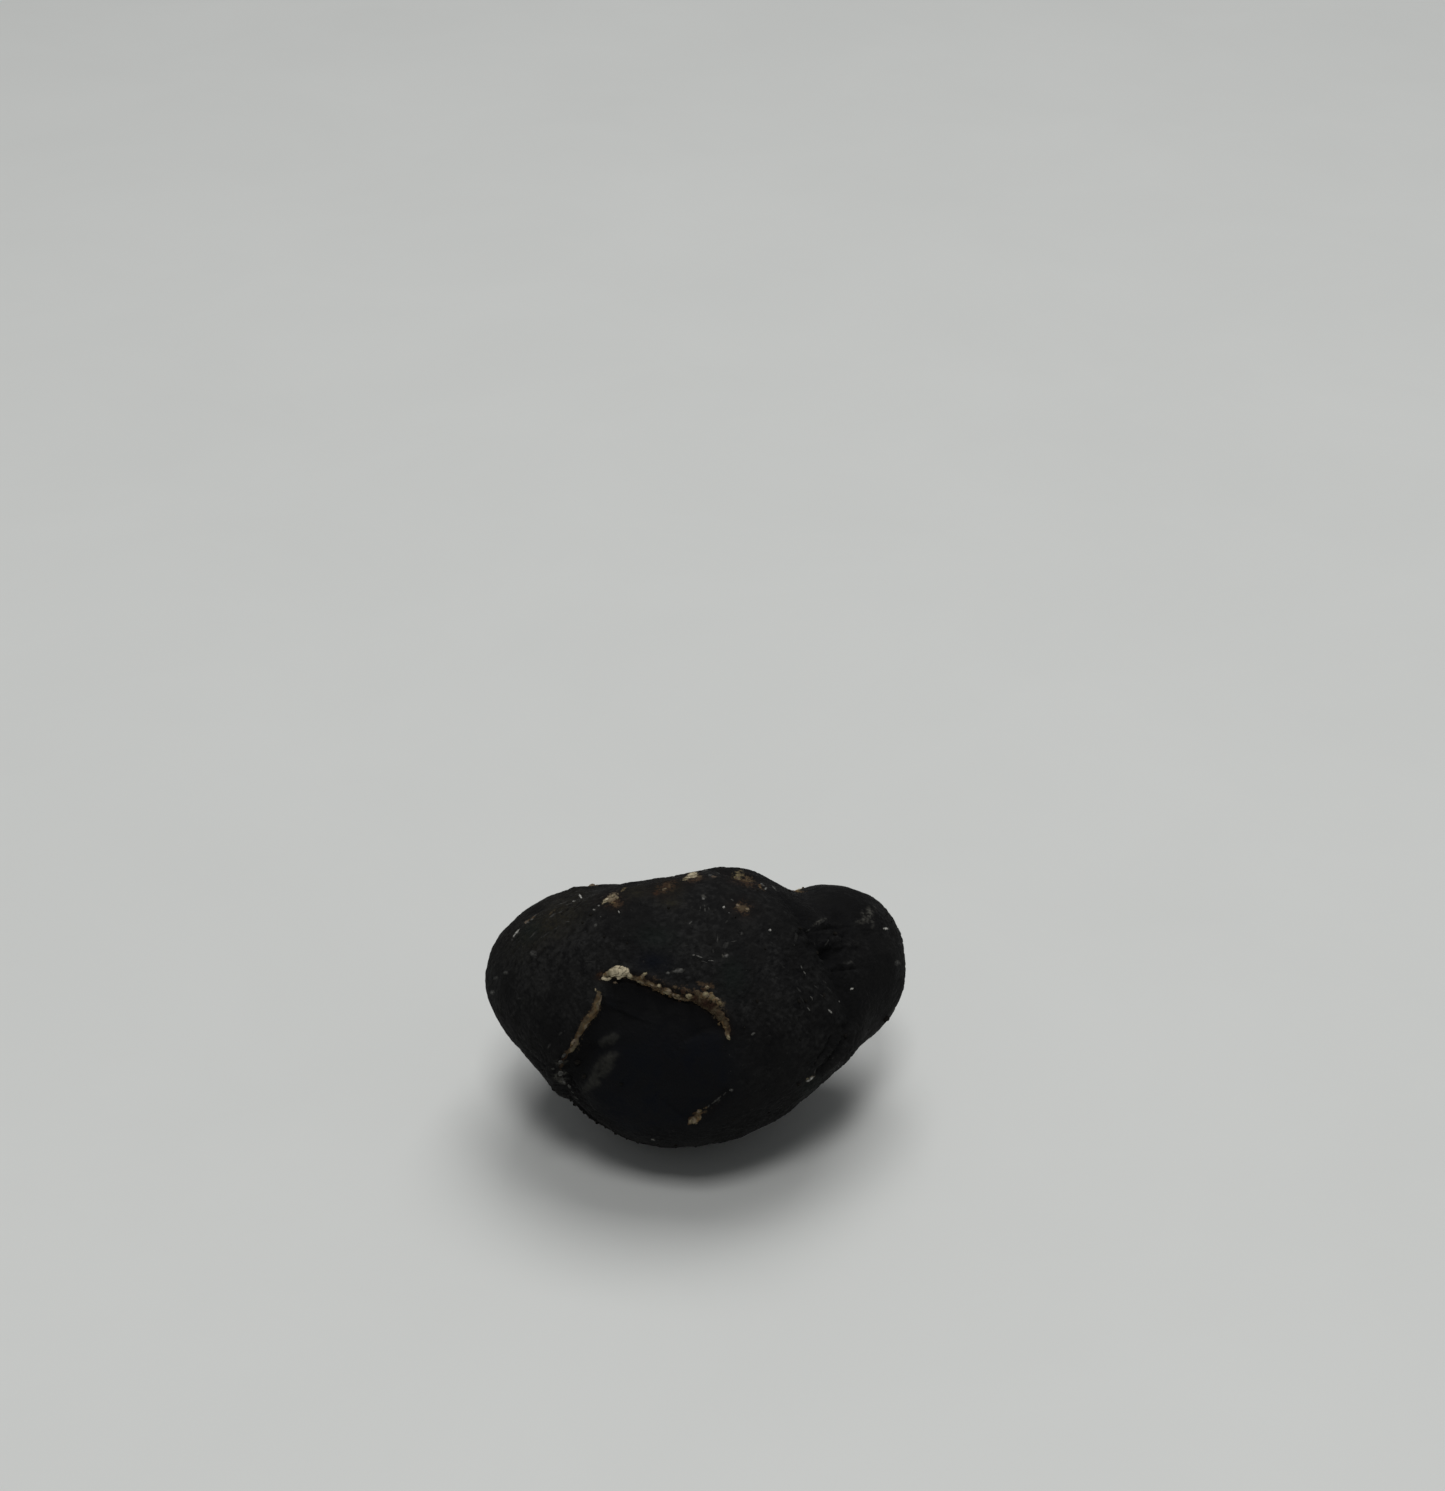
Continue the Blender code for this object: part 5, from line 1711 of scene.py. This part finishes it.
def grit_material():
    """Scraped skin and grit: the mesh says how bright, noise breaks it up."""
    material, tree, shader = new_material("pale_grit", Roughness=0.85, Specular_IOR_Level=0.15)
    place = millimetres(tree)
    worn = place_tint(tree, place, 0.32, 0.4, GRIT_DARK, GRIT_LIGHT).outputs["Mask"]
    bright = calculate(tree, "MULTIPLY", mark(tree, "bright"), spread_out(tree, worn, 0.0, 1.0, 0.55, 1.1))
    amount = calculate(tree, "POWER", bright, GRIT_SHADE, clamp=True)
    join(tree, blend_colours(tree, amount, GRIT_DARK, GRIT_LIGHT), shader.inputs["Base Color"])
    bump_from(tree, shader, place_grain(tree, place, 0.3, 0.5).outputs["Height"], 0.03)
    return material


def soil_material():
    material, tree, shader = new_material("dark_soil", Roughness=0.9, Specular_IOR_Level=0.1)
    place = millimetres(tree)
    tint = place_tint(tree, place, 0.4, 0.5, SOIL_DARK, SOIL_LIGHT)
    join(tree, tint.outputs["Colour"], shader.inputs["Base Color"])
    bump_from(tree, shader, place_grain(tree, place, 0.14, 0.7).outputs["Height"], 0.04)
    return material


flesh.data.materials.append(flesh_material())
pale_flecks.data.materials.append(grit_material())
soil_crumbs.data.materials.append(soil_material())
print("materials:", len(bpy.data.materials))

# %% [markdown]
# ## Floor and light
#
# The truffle lies on a smooth, pale surface under two ceiling panels. The one in front casts the
# tight, dark shadow that stays close to the foot, and the wider one behind casts the soft one that
# reaches towards the viewer. A single lamp would give only one of the two edges, and the pale room
# round them fills what is left. The floor also throws light back up under the truffle.

# %% Pale floor
FLOOR_SIZE = 3.0
FLOOR_COLOUR = (0.71, 0.72, 0.7, 1)
FLOOR_SHADE = (0.69, 0.7, 0.68, 1)


def floor_material():
    material, tree, shader = new_material("pale_floor", Roughness=0.5, Specular_IOR_Level=0.3)
    tint = place_tint(tree, millimetres(tree), 60.0, 0.3, FLOOR_COLOUR, FLOOR_SHADE)
    join(tree, tint.outputs["Colour"], shader.inputs["Base Color"])
    return material


floor_net = bmesh.new()
bmesh.ops.create_grid(floor_net, x_segments=1, y_segments=1, size=FLOOR_SIZE / 2)
floor_mesh = bpy.data.meshes.new("floor")
floor_net.to_mesh(floor_mesh)
floor_net.free()
floor = new_piece("floor", floor_mesh)
floor.data.materials.append(floor_material())

# %% Two ceiling panels and a dim room
FRONT_PANEL = Vector((0.0, -0.6, 1.5))
FRONT_SIZE = 0.42
FRONT_POWER = 7.3
BACK_PANEL = Vector((0.15, 0.5, 1.5))
BACK_SIZE = 0.95
BACK_POWER = 11.4
ROOM_COLOUR = (0.96, 0.98, 1.0, 1)
ROOM_STRENGTH = 0.16


def ceiling_panel(name, place, size, power):
    data = bpy.data.lights.new(name, "AREA")
    data.size = size
    data.energy = power
    lamp = bpy.data.objects.new(name, data)
    lamp.location = place
    lamp.rotation_euler = (-place).to_track_quat("-Z", "Y").to_euler()
    bpy.context.scene.collection.objects.link(lamp)


ceiling_panel("front_panel", FRONT_PANEL, FRONT_SIZE, FRONT_POWER)
ceiling_panel("back_panel", BACK_PANEL, BACK_SIZE, BACK_POWER)
room = bpy.data.worlds.new("pale_room")
room.use_nodes = True
room.node_tree.nodes["Background"].inputs["Color"].default_value = ROOM_COLOUR
room.node_tree.nodes["Background"].inputs["Strength"].default_value = ROOM_STRENGTH
bpy.context.scene.world = room
bpy.context.scene.view_settings.view_transform = "Standard"
bpy.context.scene.view_settings.look = "None"
print("lights:", len(bpy.data.lights))
